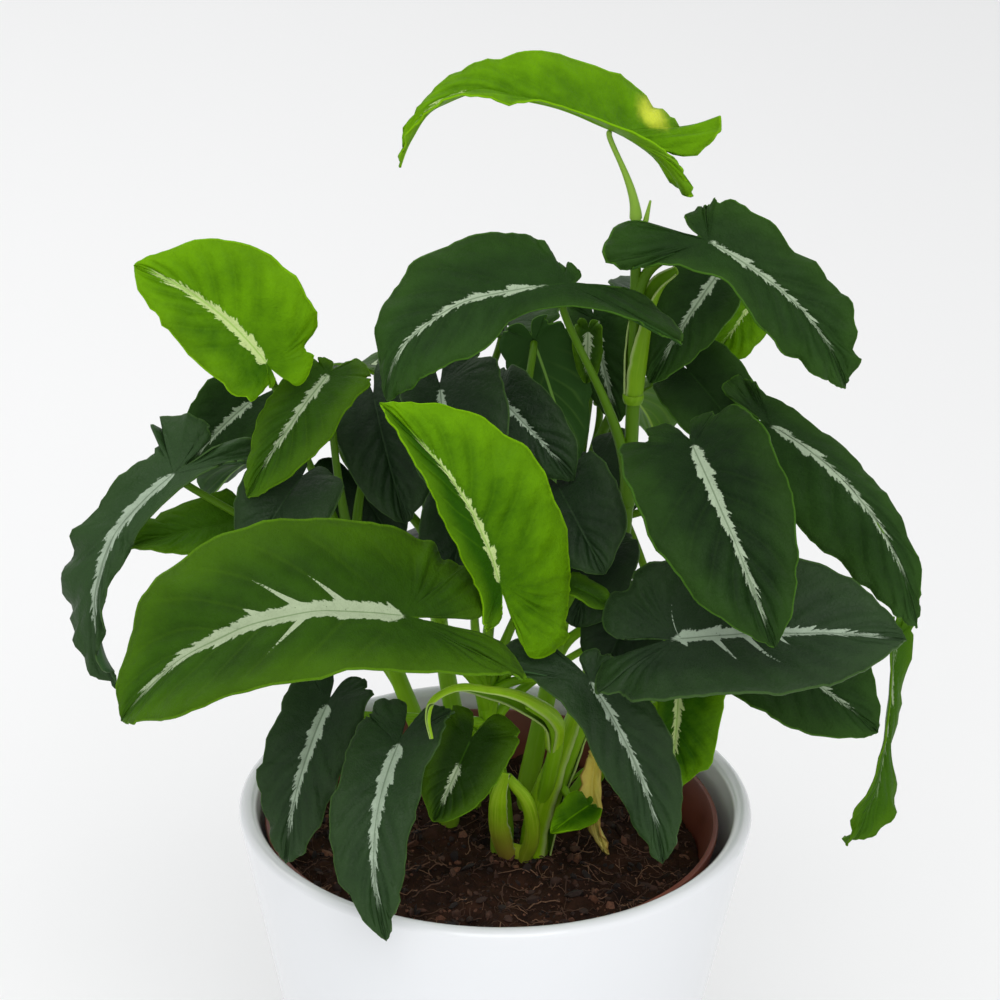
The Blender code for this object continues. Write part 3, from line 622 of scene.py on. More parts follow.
@dataclass(frozen=True)
class BladeFinish:
    """Colours and sheen of one kind of blade, above and below.

    dark and light are the ends of the upper side's range, edge tints its margin and stripe is its pale
    stripe. under is the lower side's colour and rib that of its veins. fringe is how strongly the edge's
    colour shows, and roughness, gloss and sheen are the shader's own values.
    """

    tone: Tone
    slot: str
    dark: Colour
    light: Colour
    edge: Colour
    stripe: Colour
    under: Colour
    rib: Colour
    fringe: float
    roughness: float
    gloss: float
    sheen: float

    # The colour, clouds and step of a painted glow where light shines through the leaf.
    GLOW = (0.58, 0.66, 0.05)
    GLOW_CLOUDS = 0.5
    GLOW_PATCH = (0.55, 1.15)
    SHEEN_TINT = (0.55, 0.75, 0.60)
    SHEEN_ROUGHNESS = 0.45
    SLOW_CLOUDS = (60.0, 1.1)
    PATCHES = (190.0, 1.2)
    FINE_CLOUDS = (420.0, 0.7)
    # Shares in the ground; the patches and the quilting among them paint shade that follows the relief.
    SLOW_SHARE = 0.55
    PATCH_SHADE_SHARE = 0.35
    FINE_SHARE = 0.30
    QUILT_SHADE_SHARE = 0.14
    DARKEN = -0.28
    VEIN_SHARE = 0.2
    RIM_CLOUDS = 0.3
    RIM = (0.70, 1.25)
    HEM = (0.978, 0.994, 0.0, 0.8)
    STRIPE_SHADE = 0.72
    MIDLINE_SHARE = 0.5
    RELIEF_CLOUDS = (0.6, 2.2)
    UPPER_RELIEF = (0.8, 0.45)
    LOWER_RELIEF = (0.4, 0.4)
    UNDER_CLOUDS = (60.0, 1.2)
    UNDER_SHADE = 0.35
    UNDER_VEIN = 0.16
    UNDER_VEIN_SHARE = 0.15

    def upper(self) -> bpy.types.Material:
        """The blade's upper side, with its stripe, its veins, its margin's tint, and painted light, shade and
        glow.

        Returns:
            The material.
        """
        paint = Paint(f"blade_{self.tone.value}_upper")
        stripe, veins = paint.group("pale_stripe"), paint.group("side_veins")
        across = paint.vein_phase()[1]
        # The patches and the quilting paint shade into the ground, in step with the relief that they raise
        # below.
        clouds = (self.SLOW_CLOUDS, self.PATCHES, self.FINE_CLOUDS)
        slow, patch, fine = (paint.mottle(*cloud) for cloud in clouds)
        # The leaf's lightness is partly its own tone and partly painted light and shade.
        share = paint.weigh(paint.read("age"), (slow, self.SLOW_SHARE), (fine, self.FINE_SHARE),
                            (patch, self.PATCH_SHADE_SHARE), (veins["Quilt"], self.QUILT_SHADE_SHARE))
        ground = paint.mix(paint.math("ADD", share, self.DARKEN, clamp=True), self.dark, self.light)
        line = paint.times(veins["Line"], self.VEIN_SHARE * self.fringe)
        rim = paint.step(paint.weigh(across, (slow, self.RIM_CLOUDS)), *self.RIM, 0.0, self.fringe)
        for mask in (line, rim, paint.step(across, *self.HEM)):
            ground = paint.mix(mask, ground, self.edge)
        # Painted glow of light shining through the leaf where the pale mark lies.
        bleach_and_glow = paint.weigh(paint.read("pale"), (patch, self.GLOW_CLOUDS))
        bleach_and_glow = paint.step(bleach_and_glow, *self.GLOW_PATCH)
        ground = paint.mix(bleach_and_glow, ground, self.GLOW)
        white = paint.mix(fine, tuple(self.STRIPE_SHADE * part for part in self.stripe), self.stripe)
        ground = paint.mix(stripe["Stripe"], ground, white)
        line = paint.times(stripe["Midline"], self.MIDLINE_SHARE)
        self.dress(paint, paint.mix(line, ground, self.light))
        fine_share, patch_share = self.RELIEF_CLOUDS
        relief = paint.weigh(veins["Height"], (fine, fine_share), (patch, patch_share))
        paint.bump(relief, *self.UPPER_RELIEF)
        return paint.material

    def lower(self) -> bpy.types.Material:
        """The blade's lower side, paler and with raised veins.

        Returns:
            The material.
        """
        paint = Paint(f"blade_{self.tone.value}_lower")
        stripe, veins = paint.group("pale_stripe"), paint.group("side_veins", Line=self.UNDER_VEIN)
        shade = paint.times(paint.mottle(*self.UNDER_CLOUDS), self.UNDER_SHADE)
        ground = paint.mix(shade, self.under, self.dark)
        ground = paint.mix(paint.times(veins["Line"], self.UNDER_VEIN_SHARE), ground, self.rib)
        self.dress(paint, paint.mix(stripe["Midline"], ground, self.rib))
        paint.bump(paint.times(veins["Height"], -1.0), *self.LOWER_RELIEF)
        return paint.material

    def dress(self, paint: Paint, colour: Socket) -> None:
        """Gives the shader its colour and its even values.

        Args:
            paint: the material.
            colour: the colour of its surface.
        """
        paint.coat({"Base Color": colour, "Roughness": self.roughness, "Specular IOR Level": self.gloss,
                    "Sheen Weight": self.sheen, "Sheen Roughness": self.SHEEN_ROUGHNESS,
                    "Sheen Tint": self.SHEEN_TINT})


@dataclass(frozen=True)
class PotFinish:
    """A pot's surface: two close colours in soft clouds, and a fine grain.

    cloud and grain are the scale and contrast of the shades, roughness is the range over the clouds, and
    relief is the strength of the grain and its height in millimetres.
    """

    name: str
    dark: Colour
    light: Colour
    cloud: tuple[float, float]
    roughness: tuple[float, float]
    grain: tuple[float, float]
    relief: tuple[float, float]
    coat: float = 0.0
    coat_roughness: float = 0.08

    def make(self) -> bpy.types.Material:
        """Builds the finish.

        Returns:
            The material.
        """
        paint = Paint(self.name)
        mottle = paint.mottle(*self.cloud)
        paint.coat({"Base Color": paint.mix(mottle, self.dark, self.light),
                    "Roughness": paint.step(mottle, 0.0, 1.0, *self.roughness),
                    "Coat Weight": self.coat, "Coat Roughness": self.coat_roughness})
        paint.bump(paint.mottle(*self.grain), *self.relief)
        return paint.material


@dataclass(frozen=True)
class PeatFinish:
    """Dark moist peat with lighter grains.

    cloud is the scale and contrast of the slow shade, and fine the scale, detail and roughness of the
    noise that grains are drawn from. GRAIN and ROUGHNESS are soft steps over that noise.
    """

    dark: Colour = (0.007, 0.0035, 0.0025)
    light: Colour = (0.046, 0.019, 0.010)
    grain: Colour = (0.095, 0.042, 0.021)
    cloud: tuple[float, float] = (140.0, 2.2)
    fine: tuple[float, float, float] = (900.0, 5.0, 0.7)
    gloss: float = 0.12

    GRAIN = (0.55, 0.75, 0.0, 0.7)
    ROUGHNESS = (0.3, 0.8, 0.72, 0.95)
    RELIEF = (0.8, 0.6)

    def make(self) -> bpy.types.Material:
        """Builds the finish.

        Returns:
            The material.
        """
        paint = Paint("peat")
        fine = paint.noise(paint.position(), *self.fine)
        ground = paint.mix(paint.mottle(*self.cloud), self.dark, self.light)
        paint.coat({"Base Color": paint.mix(paint.step(fine, *self.GRAIN), ground, self.grain),
                    "Roughness": paint.step(fine, *self.ROUGHNESS), "Specular IOR Level": self.gloss})
        paint.bump(fine, *self.RELIEF)
        return paint.material


@dataclass(frozen=True)
class BitFinish:
    """Crumbs or fibres, each with a shade of its own between two colours.

    fine is the scale, detail and roughness of the noise that darkens specks of it.
    """

    name: str
    dark: Colour
    light: Colour
    fine: tuple[float, float, float] = (1200.0, 3.0, 0.6)
    roughness: float = 0.85

    SPECKS = (0.4, 0.7, 0.0, 0.5)
    RELIEF = (0.5, 0.3)

    def make(self) -> bpy.types.Material:
        """Builds the finish.

        Returns:
            The material.
        """
        paint = Paint(self.name)
        fine, shade = paint.noise(paint.position(), *self.fine), paint.read("shade")
        ground = paint.mix(paint.times(shade, shade), self.dark, self.light)
        paint.coat({"Base Color": paint.mix(paint.step(fine, *self.SPECKS), ground, self.dark),
                    "Roughness": self.roughness})
        paint.bump(fine, *self.RELIEF)
        return paint.material


@dataclass(frozen=True)
class StalkFinish:
    """Yellow-green stalks, clouded and streaked, with painted shade among the leaves and pale at the top.

    cloud is the scale and contrast of the clouds. lines is how many streaks there are around and along,
    fine is their detail and roughness, and streaked is the share of their colour, edge. bands change the
    colour by height, some of them as painted shade where the stalks run among the leaves, and roughness
    is the range over the streaks.
    """

    name: str = "fresh_stalk"
    dark: Colour = (0.140, 0.325, 0.005)
    light: Colour = (0.240, 0.490, 0.008)
    edge: Colour = (0.27, 0.46, 0.05)
    cloud: tuple[float, float] = (70.0, 1.6)
    lines: tuple[float, float] = (14.0, 1.5)
    fine: tuple[float, float] = (2.0, 0.5)
    streaked: float = 0.45
    bands: tuple[Band, ...] = (Band(0.100, 0.128, 0.55, 0.0, (0.20, 0.30, 0.03)),
                               # Painted shade: this band darkens the stalks among the leaves.
                               Band(0.160, 0.205, 0.0, 0.85, (0.052, 0.130, 0.004)),
                               Band(0.283, 0.292, 0.0, 0.85, (0.250, 0.430, 0.050)))
    roughness: tuple[float, float] = (0.36, 0.50)
    gloss: float = 0.15
    relief: tuple[float, float] = (0.25, 0.2)

    STREAK = (0.45, 0.70)

    def ground(self, paint: Paint) -> tuple[Socket, Socket]:
        """Mixes the colour of the surface.

        Args:
            paint: the material.

        Returns:
            The colour, and the streaks in it.
        """
        around, along = paint.map_parts()
        lines = paint.merge(paint.times(around, self.lines[0]), paint.times(along, self.lines[1]))
        streak = paint.noise(lines, 1.0, *self.fine)
        ground = paint.mix(paint.mottle(*self.cloud), self.dark, self.light)
        ground = paint.mix(paint.step(streak, *self.STREAK, 0.0, self.streaked), ground, self.edge)
        for band in self.bands:
            ground = paint.mix(paint.band(band), ground, band.colour)
        return ground, streak

    def make(self) -> bpy.types.Material:
        """Builds the finish.

        Returns:
            The material.
        """
        paint = Paint(self.name)
        ground, streak = self.ground(paint)
        paint.coat({"Base Color": ground, "Roughness": paint.step(streak, 0.0, 1.0, *self.roughness),
                    "Specular IOR Level": self.gloss})
        paint.bump(streak, *self.relief)
        return paint.material


@dataclass(frozen=True)
class SheathFinish(StalkFinish):
    """A fresh sheet with paler edges, earthy low down and its edges bleaching where it is dry, and darker
    higher up, as painted shade among the leaves.
    """

    cloud: tuple[float, float] = (110.0, 1.8)
    lines: tuple[float, float] = (22.0, 2.0)
    fine: tuple[float, float] = (3.0, 0.6)
    streaked: float = 0.35
    # Painted shade: the band darkens the sheets among the leaves.
    bands: tuple[Band, ...] = (Band(0.175, 0.225, 0.0, 0.70, (0.090, 0.210, 0.004)),)
    roughness: tuple[float, float] = (0.42, 0.42)
    gloss: float = 0.12
    relief: tuple[float, float] = (0.3, 0.2)
    earth: Band = Band(0.104, 0.128, 0.8, 0.0, (0.40, 0.24, 0.05))
    bleach_and_glow: Colour = (0.56, 0.62, 0.32)

    RIM = (0.86, 0.98)
    RIM_SHARE = (0.5, 0.45)

    def ground(self, paint: Paint) -> tuple[Socket, Socket]:
        """Mixes the colour of the surface, with earth low down and its pale free edges.

        Args:
            paint: the material.

        Returns:
            The colour, and the streaks in it.
        """
        ground, streak = super().ground(paint)
        dry = paint.read("dry")
        ground = paint.mix(paint.times(paint.band(self.earth), dry), ground, self.earth.colour)
        share = paint.math("MULTIPLY_ADD", dry, *self.RIM_SHARE)
        fringe = paint.times(paint.step(paint.read("edge"), *self.RIM), share)
        return paint.mix(fringe, ground, self.bleach_and_glow), streak


FINISHES = (
    BladeFinish(Tone.VELVET, "leaf_dark", (0.005, 0.018, 0.004), (0.022, 0.056, 0.014), (0.045, 0.105, 0.018),
                (0.42, 0.52, 0.39), (0.040, 0.105, 0.030), (0.15, 0.29, 0.08), 0.15, 0.50, 0.18, 0.01),
    BladeFinish(Tone.DEEP, "leaf_dark", (0.004, 0.016, 0.002), (0.023, 0.066, 0.010), (0.055, 0.150, 0.010),
                (0.42, 0.52, 0.36), (0.030, 0.090, 0.014), (0.18, 0.35, 0.06), 0.22, 0.52, 0.09, 0.01),
    BladeFinish(Tone.MID, "leaf_mid", (0.010, 0.032, 0.001), (0.036, 0.108, 0.002), (0.095, 0.220, 0.003),
                (0.42, 0.51, 0.32), (0.085, 0.22, 0.012), (0.28, 0.47, 0.05), 0.40, 0.50, 0.07, 0.01),
    BladeFinish(Tone.FRESH, "leaf_bright", (0.020, 0.080, 0.001), (0.165, 0.395, 0.002), (0.20, 0.44, 0.004),
                (0.60, 0.74, 0.30), (0.16, 0.36, 0.01), (0.42, 0.64, 0.08), 0.35, 0.45, 0.04, 0.0),
    BladeFinish(Tone.WITHERED, "leaf_withered", (0.76, 0.62, 0.09), (0.96, 0.88, 0.26), (0.45, 0.26, 0.06),
                (0.55, 0.50, 0.16), (0.68, 0.60, 0.18), (0.60, 0.50, 0.16), 0.40, 0.60, 0.20, 0.0),
)

YOUNG_OUTER = SheathFinish("young_outer", (0.17, 0.36, 0.003), (0.33, 0.58, 0.010), (0.58, 0.74, 0.08))
YOUNG_INNER = SheathFinish("young_inner", (0.08, 0.22, 0.004), (0.15, 0.34, 0.008), (0.24, 0.43, 0.03))
GLAZE = PotFinish("white_glaze", (0.78, 0.80, 0.825), (0.82, 0.83, 0.85), cloud=(12.0, 0.8),
                  roughness=(0.20, 0.28), grain=(260.0, 1.0), relief=(0.15, 0.05), coat=0.4)
PLASTIC = PotFinish("brown_plastic", (0.125, 0.027, 0.014), (0.19, 0.047, 0.026), cloud=(90.0, 1.6),
                    roughness=(0.34, 0.52), grain=(700.0, 1.5), relief=(0.2, 0.1))


@dataclass(frozen=True)
class Lobe:
    """One of the two ears behind the stalk: its length, its angle from straight back, its droop."""

    length: float
    spread: float = 40.0
    droop: float = 20.0


@dataclass(frozen=True)
class Swing:
    """A line of noise along the margin: swings a half, the place of the right half's own, and its seed."""

    count: float
    apart: float
    seed: float = 0.0

    def at(self, share: np.ndarray, is_right: np.ndarray, seed: float) -> np.ndarray:
        """The noise at each share of the margin."""
        return ripple(share * self.count + self.apart * is_right, seed + self.seed)


@dataclass(frozen=True)
class Pattern:
    """The points of one blade in its flat pattern.

    across and share are the grid's own places, from -1 at the left margin to 1 at the right one and
    from 0 at the tip to 1 at the notch. side is 1 or -1 by the half, out grows from 0 at the midrib to 1
    at the margin, and width is the half's greatest width. ahead is the length ahead of the joint and
    aside the one aside of the midrib. curl is the crumple of the margin, scale makes the unevenness of a
    small blade smaller, and seed says which line through the noise it follows.
    """

    across: np.ndarray
    share: np.ndarray
    side: np.ndarray
    out: np.ndarray
    width: np.ndarray
    ahead: np.ndarray
    aside: np.ndarray
    curl: np.ndarray
    scale: float
    seed: float

    def open_from(self, near: float, far: float) -> np.ndarray:
        """0 at the joint and 1 far from it, with the step between two distances."""
        return smooth(np.hypot(self.ahead, self.aside), near, far)


@dataclass(frozen=True)
class Blade:
    """One leaf blade, its side sizes given right half first, as seen on the upper side with the tip up.

    joint and tip are the ends of the midrib, and facing is where the upper side looks: its azimuth
    and its elevation. widths and lobes are the halves' greatest widths and the ears behind the joint.
    The stalk leaves the shoot at the share height of its length, runs on along it for about rise, and
    reaches the joint square to the blade from about reach below. bulge and sway bow the midrib up and
    to the right, crest is the share of the length where they are greatest, fold tilts the halves up
    like an open book, wave is the height of the ripples along the margin, blunt widens the tip, and
    waists narrow the halves beside the joint. stripe is the pale stripe's half width, span the shares of
    the length where it starts and ends, and streaks how far it runs out along the side veins near the
    joint. age makes the green lighter, or darker below 0; it holds the leaf's own tone and
    painted light and shade on the whole leaf. pale paints a glow of light shining through the right
    shoulder. left_shade paints shade on the left half alone, where it turns away from the light. frill
    crumples the margin, and stalk is the stalk's thickness as a share of the usual one.
    """

    node: str
    joint: Point
    tip: Point
    facing: tuple[float, float]
    widths: tuple[float, float]
    lobes: tuple[Lobe, Lobe]
    shoot: str
    height: float
    rise: float = 25.0
    reach: float = 15.0
    bulge: float = 6.0
    crest: float = 0.5
    sway: float = 0.0
    fold: float = 12.0
    wave: float = 1.0
    blunt: float = 1.0
    waists: tuple[float, float] = (1.0, 1.0)
    tone: Tone = Tone.DEEP
    stripe: float = 1.1
    span: tuple[float, float] = (0.0, 0.88)
    streaks: float = 0.0
    age: float = 0.0
    pale: float = 0.0
    frill: float = 0.25
    left_shade: float = 0.0
    stalk: float = 1.0

    # The outline: points of the front half as shares of the length and the width, then the ear.
    FRONT_MARGIN = ((1.0, 0.0), (0.93, 0.24), (0.72, 0.70), (0.43, 0.96), (0.13, 1.0))
    SHOULDER_BACK = 0.45
    SHOULDER_OUT = 0.62
    CHEEK = 0.84
    CHEEK_SWELL = 0.23
    SLIM_LOBE = 0.8
    INNER_LOBE_LENGTH = 0.8
    INNER_LOBE_SPREAD = 0.35
    BLUNT_FROM = 0.43
    BLUNT_SPAN = 0.5
    NOTCH_SHARE = 0.05

    # The sheet: its thickness, its grid, how far it keeps inside the solids' box, and its seeds.
    THICKNESS = 0.5
    CROWDING = 1.5
    COLUMNS = 11
    SMALL_COLUMNS = 8
    ROW_LENGTH = 1.35
    MARGIN_SHARE = 1.5
    ROWS = (30, 110)
    FULL_LENGTH = 40.0
    CLEAR = 0.35
    SEED_STEP = 1.7
    SEED_START = 0.3

    # The margin: its unevenness, and how its droop and its waves fade towards the midrib.
    UNEVEN = 0.9
    UNEVEN_SWING = Swing(24, 40)
    ROUGH = 0.4
    ROUGH_SWING = Swing(9, 40, 7)
    CURL_SWING = Swing(19, 23, 11)
    CURL_STOPS = (1.0, 0.9)
    UNEVEN_FROM = 3.0
    DROOP_FADE = 0.3
    LEAST_TURN = 1e-9
    WAVE_FADE = 0.5
    WAVES_PER_SIDE = 2.5

    # The relief: a cushion between each two veins, a groove over the midrib, waves, crumples, buckles.
    QUILT = 0.16
    QUILT_FROM = (0.4, 3.5)
    QUILT_STOPS = (1.0, 0.8)
    QUILT_OPENS = (4.0, 22.0)
    RIB_DEPTH = 0.45
    RIB_WIDTH = 0.9
    RIB_FROM = (-2.0, 3.0)
    FINE_WAVE = 0.7
    FINE_SWING = Swing(34, 60, 3)
    FINE_OPENS = (3.0, 18.0)
    FINE_STOPS = (1.0, 0.88)
    CRUMPLE = 1.7
    CRUMPLE_FADE = 0.3
    BUCKLE = 1.1
    BUCKLE_SIZE = 12.0
    BUCKLE_APART = 20
    BUCKLE_OPENS = (3.0, 16.0)

    # The marks that the finish reads.
    STRIPE_START = (-0.02, 0.06)
    STRIPE_TAPER = 1.6
    # The tip grows lighter, and the left half can take painted shade where it turns away from the light.
    TIP_LIGHTEN = 0.32
    TIP_LIGHTEN_FROM = (0.55, 1.0)
    LEFT_SHADE_FROM = (0.05, -0.15)
    # Where the painted glow of light through the right shoulder lies, and how far it spreads.
    GLOW_BEHIND = 14.0
    GLOW_ASIDE = 11.0
    GLOW_SIZE = 45.0

    def axes(self) -> tuple[np.ndarray, float, np.ndarray, np.ndarray, np.ndarray]:
        """Finds where the blade is and how it lies.

        Returns:
            The joint, the length to the tip, and unit vectors along the blade, to its right and up.
        """
        joint = np.array(self.joint, float)
        reach = np.array(self.tip, float) - joint
        along = unit(reach)
        azimuth, elevation = (math.radians(angle) for angle in self.facing)
        flat = math.cos(elevation)
        looks = np.array([flat * math.cos(azimuth), flat * math.sin(azimuth), math.sin(elevation)])
        up = unit(looks - along * looks.dot(along))
        return joint, float(np.linalg.norm(reach)), along, np.cross(along, up), up

    def outline(self, which: int, length: float) -> tuple[tuple[float, float], ...]:
        """Margin of one half in its flat pattern, from the tip round the lobe to the notch.

        Args:
            which: 0 for the right half and 1 for the left one.
            length: the blade's length from the joint to the tip.

        Returns:
            Points by their lengths ahead of the joint and aside of the midrib.
        """
        width, lobe = self.widths[which], self.lobes[which]
        sine, cosine = math.sin(math.radians(lobe.spread)), math.cos(math.radians(lobe.spread))
        back, out = lobe.length * cosine, lobe.length * sine
        swell = self.CHEEK_SWELL * min(width, self.SLIM_LOBE * lobe.length)
        inner = math.radians(lobe.spread * self.INNER_LOBE_SPREAD)
        reach = self.INNER_LOBE_LENGTH * lobe.length
        front = []
        for ahead, aside in self.FRONT_MARGIN:
            blunt = self.blunt ** np.clip((ahead - self.BLUNT_FROM) / self.BLUNT_SPAN, 0, 1)
            front.append((ahead * length, aside * width * blunt))
        front[-1] = (front[-1][0], front[-1][1] * self.waists[which])
        shoulder = self.SHOULDER_OUT * width * self.waists[which] + self.SHOULDER_BACK * out
        return tuple(front) + (
            (-self.SHOULDER_BACK * back, shoulder),
            (-self.CHEEK * back + swell * sine, self.CHEEK * out + swell * cosine),
            (-back, out),
            (-reach * math.cos(inner), reach * math.sin(inner)),
            (-self.NOTCH_SHARE * length, 0),
        )

    def handle(self) -> np.ndarray:
        """The middle control point of the midrib's curve, from the joint."""
        _, length, along, right, up = self.axes()
        return along * length * self.crest + 2 * (self.bulge * up + self.sway * right)

    def joint_normal(self) -> np.ndarray:
        """Finds where the upper side looks at the joint.

        Returns:
            The direction, square to the midrib there.
        """
        tangent = unit(self.handle())
        up = self.axes()[4]
        return unit(up - tangent * tangent.dot(up))

    def pattern(self, across: np.ndarray, share: np.ndarray, seed: float) -> Pattern:
        """Lays the grid's points out in the flat pattern.

        Args:
            across: places across the blade, from -1 at the left margin to 1 at the right one.
            share: places along the margin, from 0 at the tip to 1 at the notch.
            seed: which line through the noise the unevenness follows.

        Returns:
            The points in the flat pattern.
        """
        length = self.axes()[1]
        side = np.where(across < 0, -1.0, 1.0)
        is_right = side > 0
        out = np.abs(across) ** self.CROWDING
        edges = [spline(self.outline(which, length), share) for which in (0, 1)]
        edge = np.where(is_right[:, None], *edges)
        scale = min(1.0, length / self.FULL_LENGTH)
        rough = (self.ROUGH + self.ROUGH * self.wave) * self.ROUGH_SWING.at(share, is_right, seed)
        uneven = (self.UNEVEN_SWING.at(share, is_right, seed) * self.UNEVEN + rough) * scale
        curl = self.frill * self.CURL_SWING.at(share, is_right, seed)
        uneven += curl * scale * smooth(share, *self.CURL_STOPS)
        stem = length * np.clip(1 - share / FRONT_SHARE, 0, 1)
        aside = edge[:, 1] + uneven * np.clip(edge[:, 1] / self.UNEVEN_FROM, 0, 1)
        return Pattern(across, share, side, out, np.where(is_right, *self.widths),
                       lerp(stem, edge[:, 0], out), np.maximum(aside, 0) * out, curl, scale, seed)

    def midrib(self, flat: Pattern) -> tuple[np.ndarray, np.ndarray]:
        """Carries the pattern's points onto the midrib's curve, and down behind the joint.

        Args:
            flat: the points in the flat pattern.

        Returns:
            Each point's place on the curve, from the joint, and the upper side's direction there.
        """
        _, length, along, _, up = self.axes()
        middle = self.handle()
        ahead = np.clip(flat.ahead / length, 0, 1)[:, None]
        spine = 2 * ahead * (1 - ahead) * middle + ahead**2 * along * length
        tangent = unit(2 * (1 - 2 * ahead) * middle + 2 * ahead * along * length)
        normal = unit(up - tangent * (tangent @ up)[:, None])
        droops = [lobe.droop for lobe in self.lobes]
        droop, mean = np.where(flat.side > 0, *droops), sum(droops) / 2
        longest = max(lobe.length for lobe in self.lobes)
        behind = np.maximum(-flat.ahead, 0)
        own = np.clip(flat.aside / (self.DROOP_FADE * flat.width), 0, 1)
        turn = np.radians(mean + (droop - mean) * own) / longest * behind + self.LEAST_TURN
        run = (np.sin(turn) / turn * behind)[:, None]
        fall = ((1 - np.cos(turn)) / turn * behind)[:, None]
        bent = normal * np.cos(turn)[:, None] - tangent * np.sin(turn)[:, None]
        return spine - tangent * run - normal * fall, bent

    def relief(self, flat: Pattern) -> np.ndarray:
        """The fine unevenness of the upper side.

        Args:
            flat: the points in the flat pattern.

        Returns:
            How far each point stands off the smooth surface.
        """
        phase = flat.share * SIDE_VEINS + VEIN_BEND * np.abs(flat.across) ** VEIN_CURVE
        cushion = np.sin(math.pi * (phase - 0.5)) ** 2
        inner = smooth(flat.aside, *self.QUILT_FROM) * smooth(np.abs(flat.across), *self.QUILT_STOPS)
        inner = inner * flat.open_from(*self.QUILT_OPENS)
        lift = self.QUILT * flat.scale * cushion * inner
        groove = np.exp(-((flat.aside / self.RIB_WIDTH) ** 2))
        lift -= self.RIB_DEPTH * groove * smooth(flat.ahead, *self.RIB_FROM)
        open_area = flat.open_from(*self.FINE_OPENS) * smooth(flat.share, *self.FINE_STOPS)
        fine = self.FINE_SWING.at(flat.share, flat.side > 0, flat.seed)
        lift += self.FINE_WAVE * flat.scale * flat.out**3 * open_area * fine
        edge = np.clip(flat.aside / (self.CRUMPLE_FADE * flat.width), 0, 1)
        lift += self.CRUMPLE * flat.curl * flat.scale * open_area * flat.out**1.5 * edge
        apart = np.full(len(flat.ahead), self.BUCKLE_APART * flat.seed)
        spots = np.stack([flat.ahead, flat.side * flat.aside, apart], -1) / self.BUCKLE_SIZE
        buckle = np.array([noise.noise(spot) for spot in spots])
        return lift + self.BUCKLE * flat.scale * buckle * flat.open_from(*self.BUCKLE_OPENS)

    def surface(self, flat: Pattern) -> np.ndarray:
        """Places the blade's middle surface.

        Args:
            flat: the points in the flat pattern.

        Returns:
            The points.
        """
        joint, _, _, right, _ = self.axes()
        spine, normal = self.midrib(flat)
        lean = math.radians(self.fold)
        out = flat.side[:, None] * right
        lateral = flat.aside[:, None] * (math.cos(lean) * out + math.sin(lean) * normal)
        swing = np.sin(FULL_TURN * self.WAVES_PER_SIDE * flat.share + flat.side)
        wave = self.wave * flat.out**2 * swing
        wave = wave * np.clip(flat.aside / (self.WAVE_FADE * flat.width), 0, 1)
        raised = math.cos(lean) * normal - math.sin(lean) * out
        lift = self.relief(flat)[:, None] * raised
        return joint + spine + lateral + wave[:, None] * normal + lift

    def mark(self, obj: bpy.types.Object, flat: Pattern) -> None:
        """Writes what the finish reads at each point: the flat pattern, the streaks, the lightness of tone
        and painted light and shade, and the painted glow.

        Args:
            obj: the piece.
            flat: the points in the flat pattern.
        """
        start, end = self.span
        far = flat.ahead / self.axes()[1]
        low, high = self.STRIPE_START
        half = self.stripe * smooth(far, start + low, start + high)
        half = half * (1 - np.clip((far - start) / (end - start), 0, 1) ** self.STRIPE_TAPER)
        note(obj, "flat", np.stack([flat.ahead, flat.aside, half], -1))
        note(obj, "streaks", np.full(len(far), self.streaks))
        # Painted light and shade: the leaf's lightness holds its own tone and the light on it, and the left
        # half takes painted shade.
        age = self.age + self.TIP_LIGHTEN * smooth(far, *self.TIP_LIGHTEN_FROM)
        note(obj, "age", age + self.left_shade * smooth(flat.across, *self.LEFT_SHADE_FROM))
        # A painted glow of light shining through the right shoulder.
        away = (flat.ahead + self.GLOW_BEHIND) ** 2 + (flat.aside - self.GLOW_ASIDE) ** 2
        note(obj, "pale", self.pale * np.exp(-away / self.GLOW_SIZE) * (flat.across > 0))

    def build(self, index: int, finishes: dict[Tone, tuple]) -> bpy.types.Object:
        """Makes the blade.

        Args:
            index: its row in the table, which seeds its unevenness.
            finishes: the upper and the lower material of each kind, and its slot.

        Returns:
            The piece.
        """
        length = self.axes()[1] + max(lobe.length for lobe in self.lobes)
        rows = int(np.clip(length * self.MARGIN_SHARE / self.ROW_LENGTH, *self.ROWS))
        columns = self.COLUMNS if length > self.FULL_LENGTH else self.SMALL_COLUMNS
        obj, grid = grid_sheet(f"{self.node}_blade", 2 * columns, rows)
        seed = self.SEED_STEP * index + self.SEED_START
        flat = self.pattern(grid[:, 0], (1 - grid[:, 1]) / 2, seed)
        low, high = (np.array(corner) / MM for corner in CAD_BOX)
        place(obj, np.clip(self.surface(flat), low + self.CLEAR, high - self.CLEAR))
        self.mark(obj, flat)
        weld(obj, outward=False)
        upper, lower, slot = finishes[self.tone]
        paint_with(obj, upper, lower)
        thicken(obj, self.THICKNESS)
        smooth_shade(obj)
        finish_piece(obj, slot, self.node)
        return obj


@dataclass(frozen=True)
class Sprout:
    """A side growth of a stem: its centre line, and its radii from foot to tip."""

    path: tuple[Point, ...]
    radii: tuple[float, ...]

    POINTS = 48
    SIDES = 12

    def build(self, name: str) -> bpy.types.Object:
        """Makes the growth."""
        share = np.linspace(0, 1, self.POINTS)
        return tube(name, spline(self.path, share), profile(self.radii, share), self.SIDES)


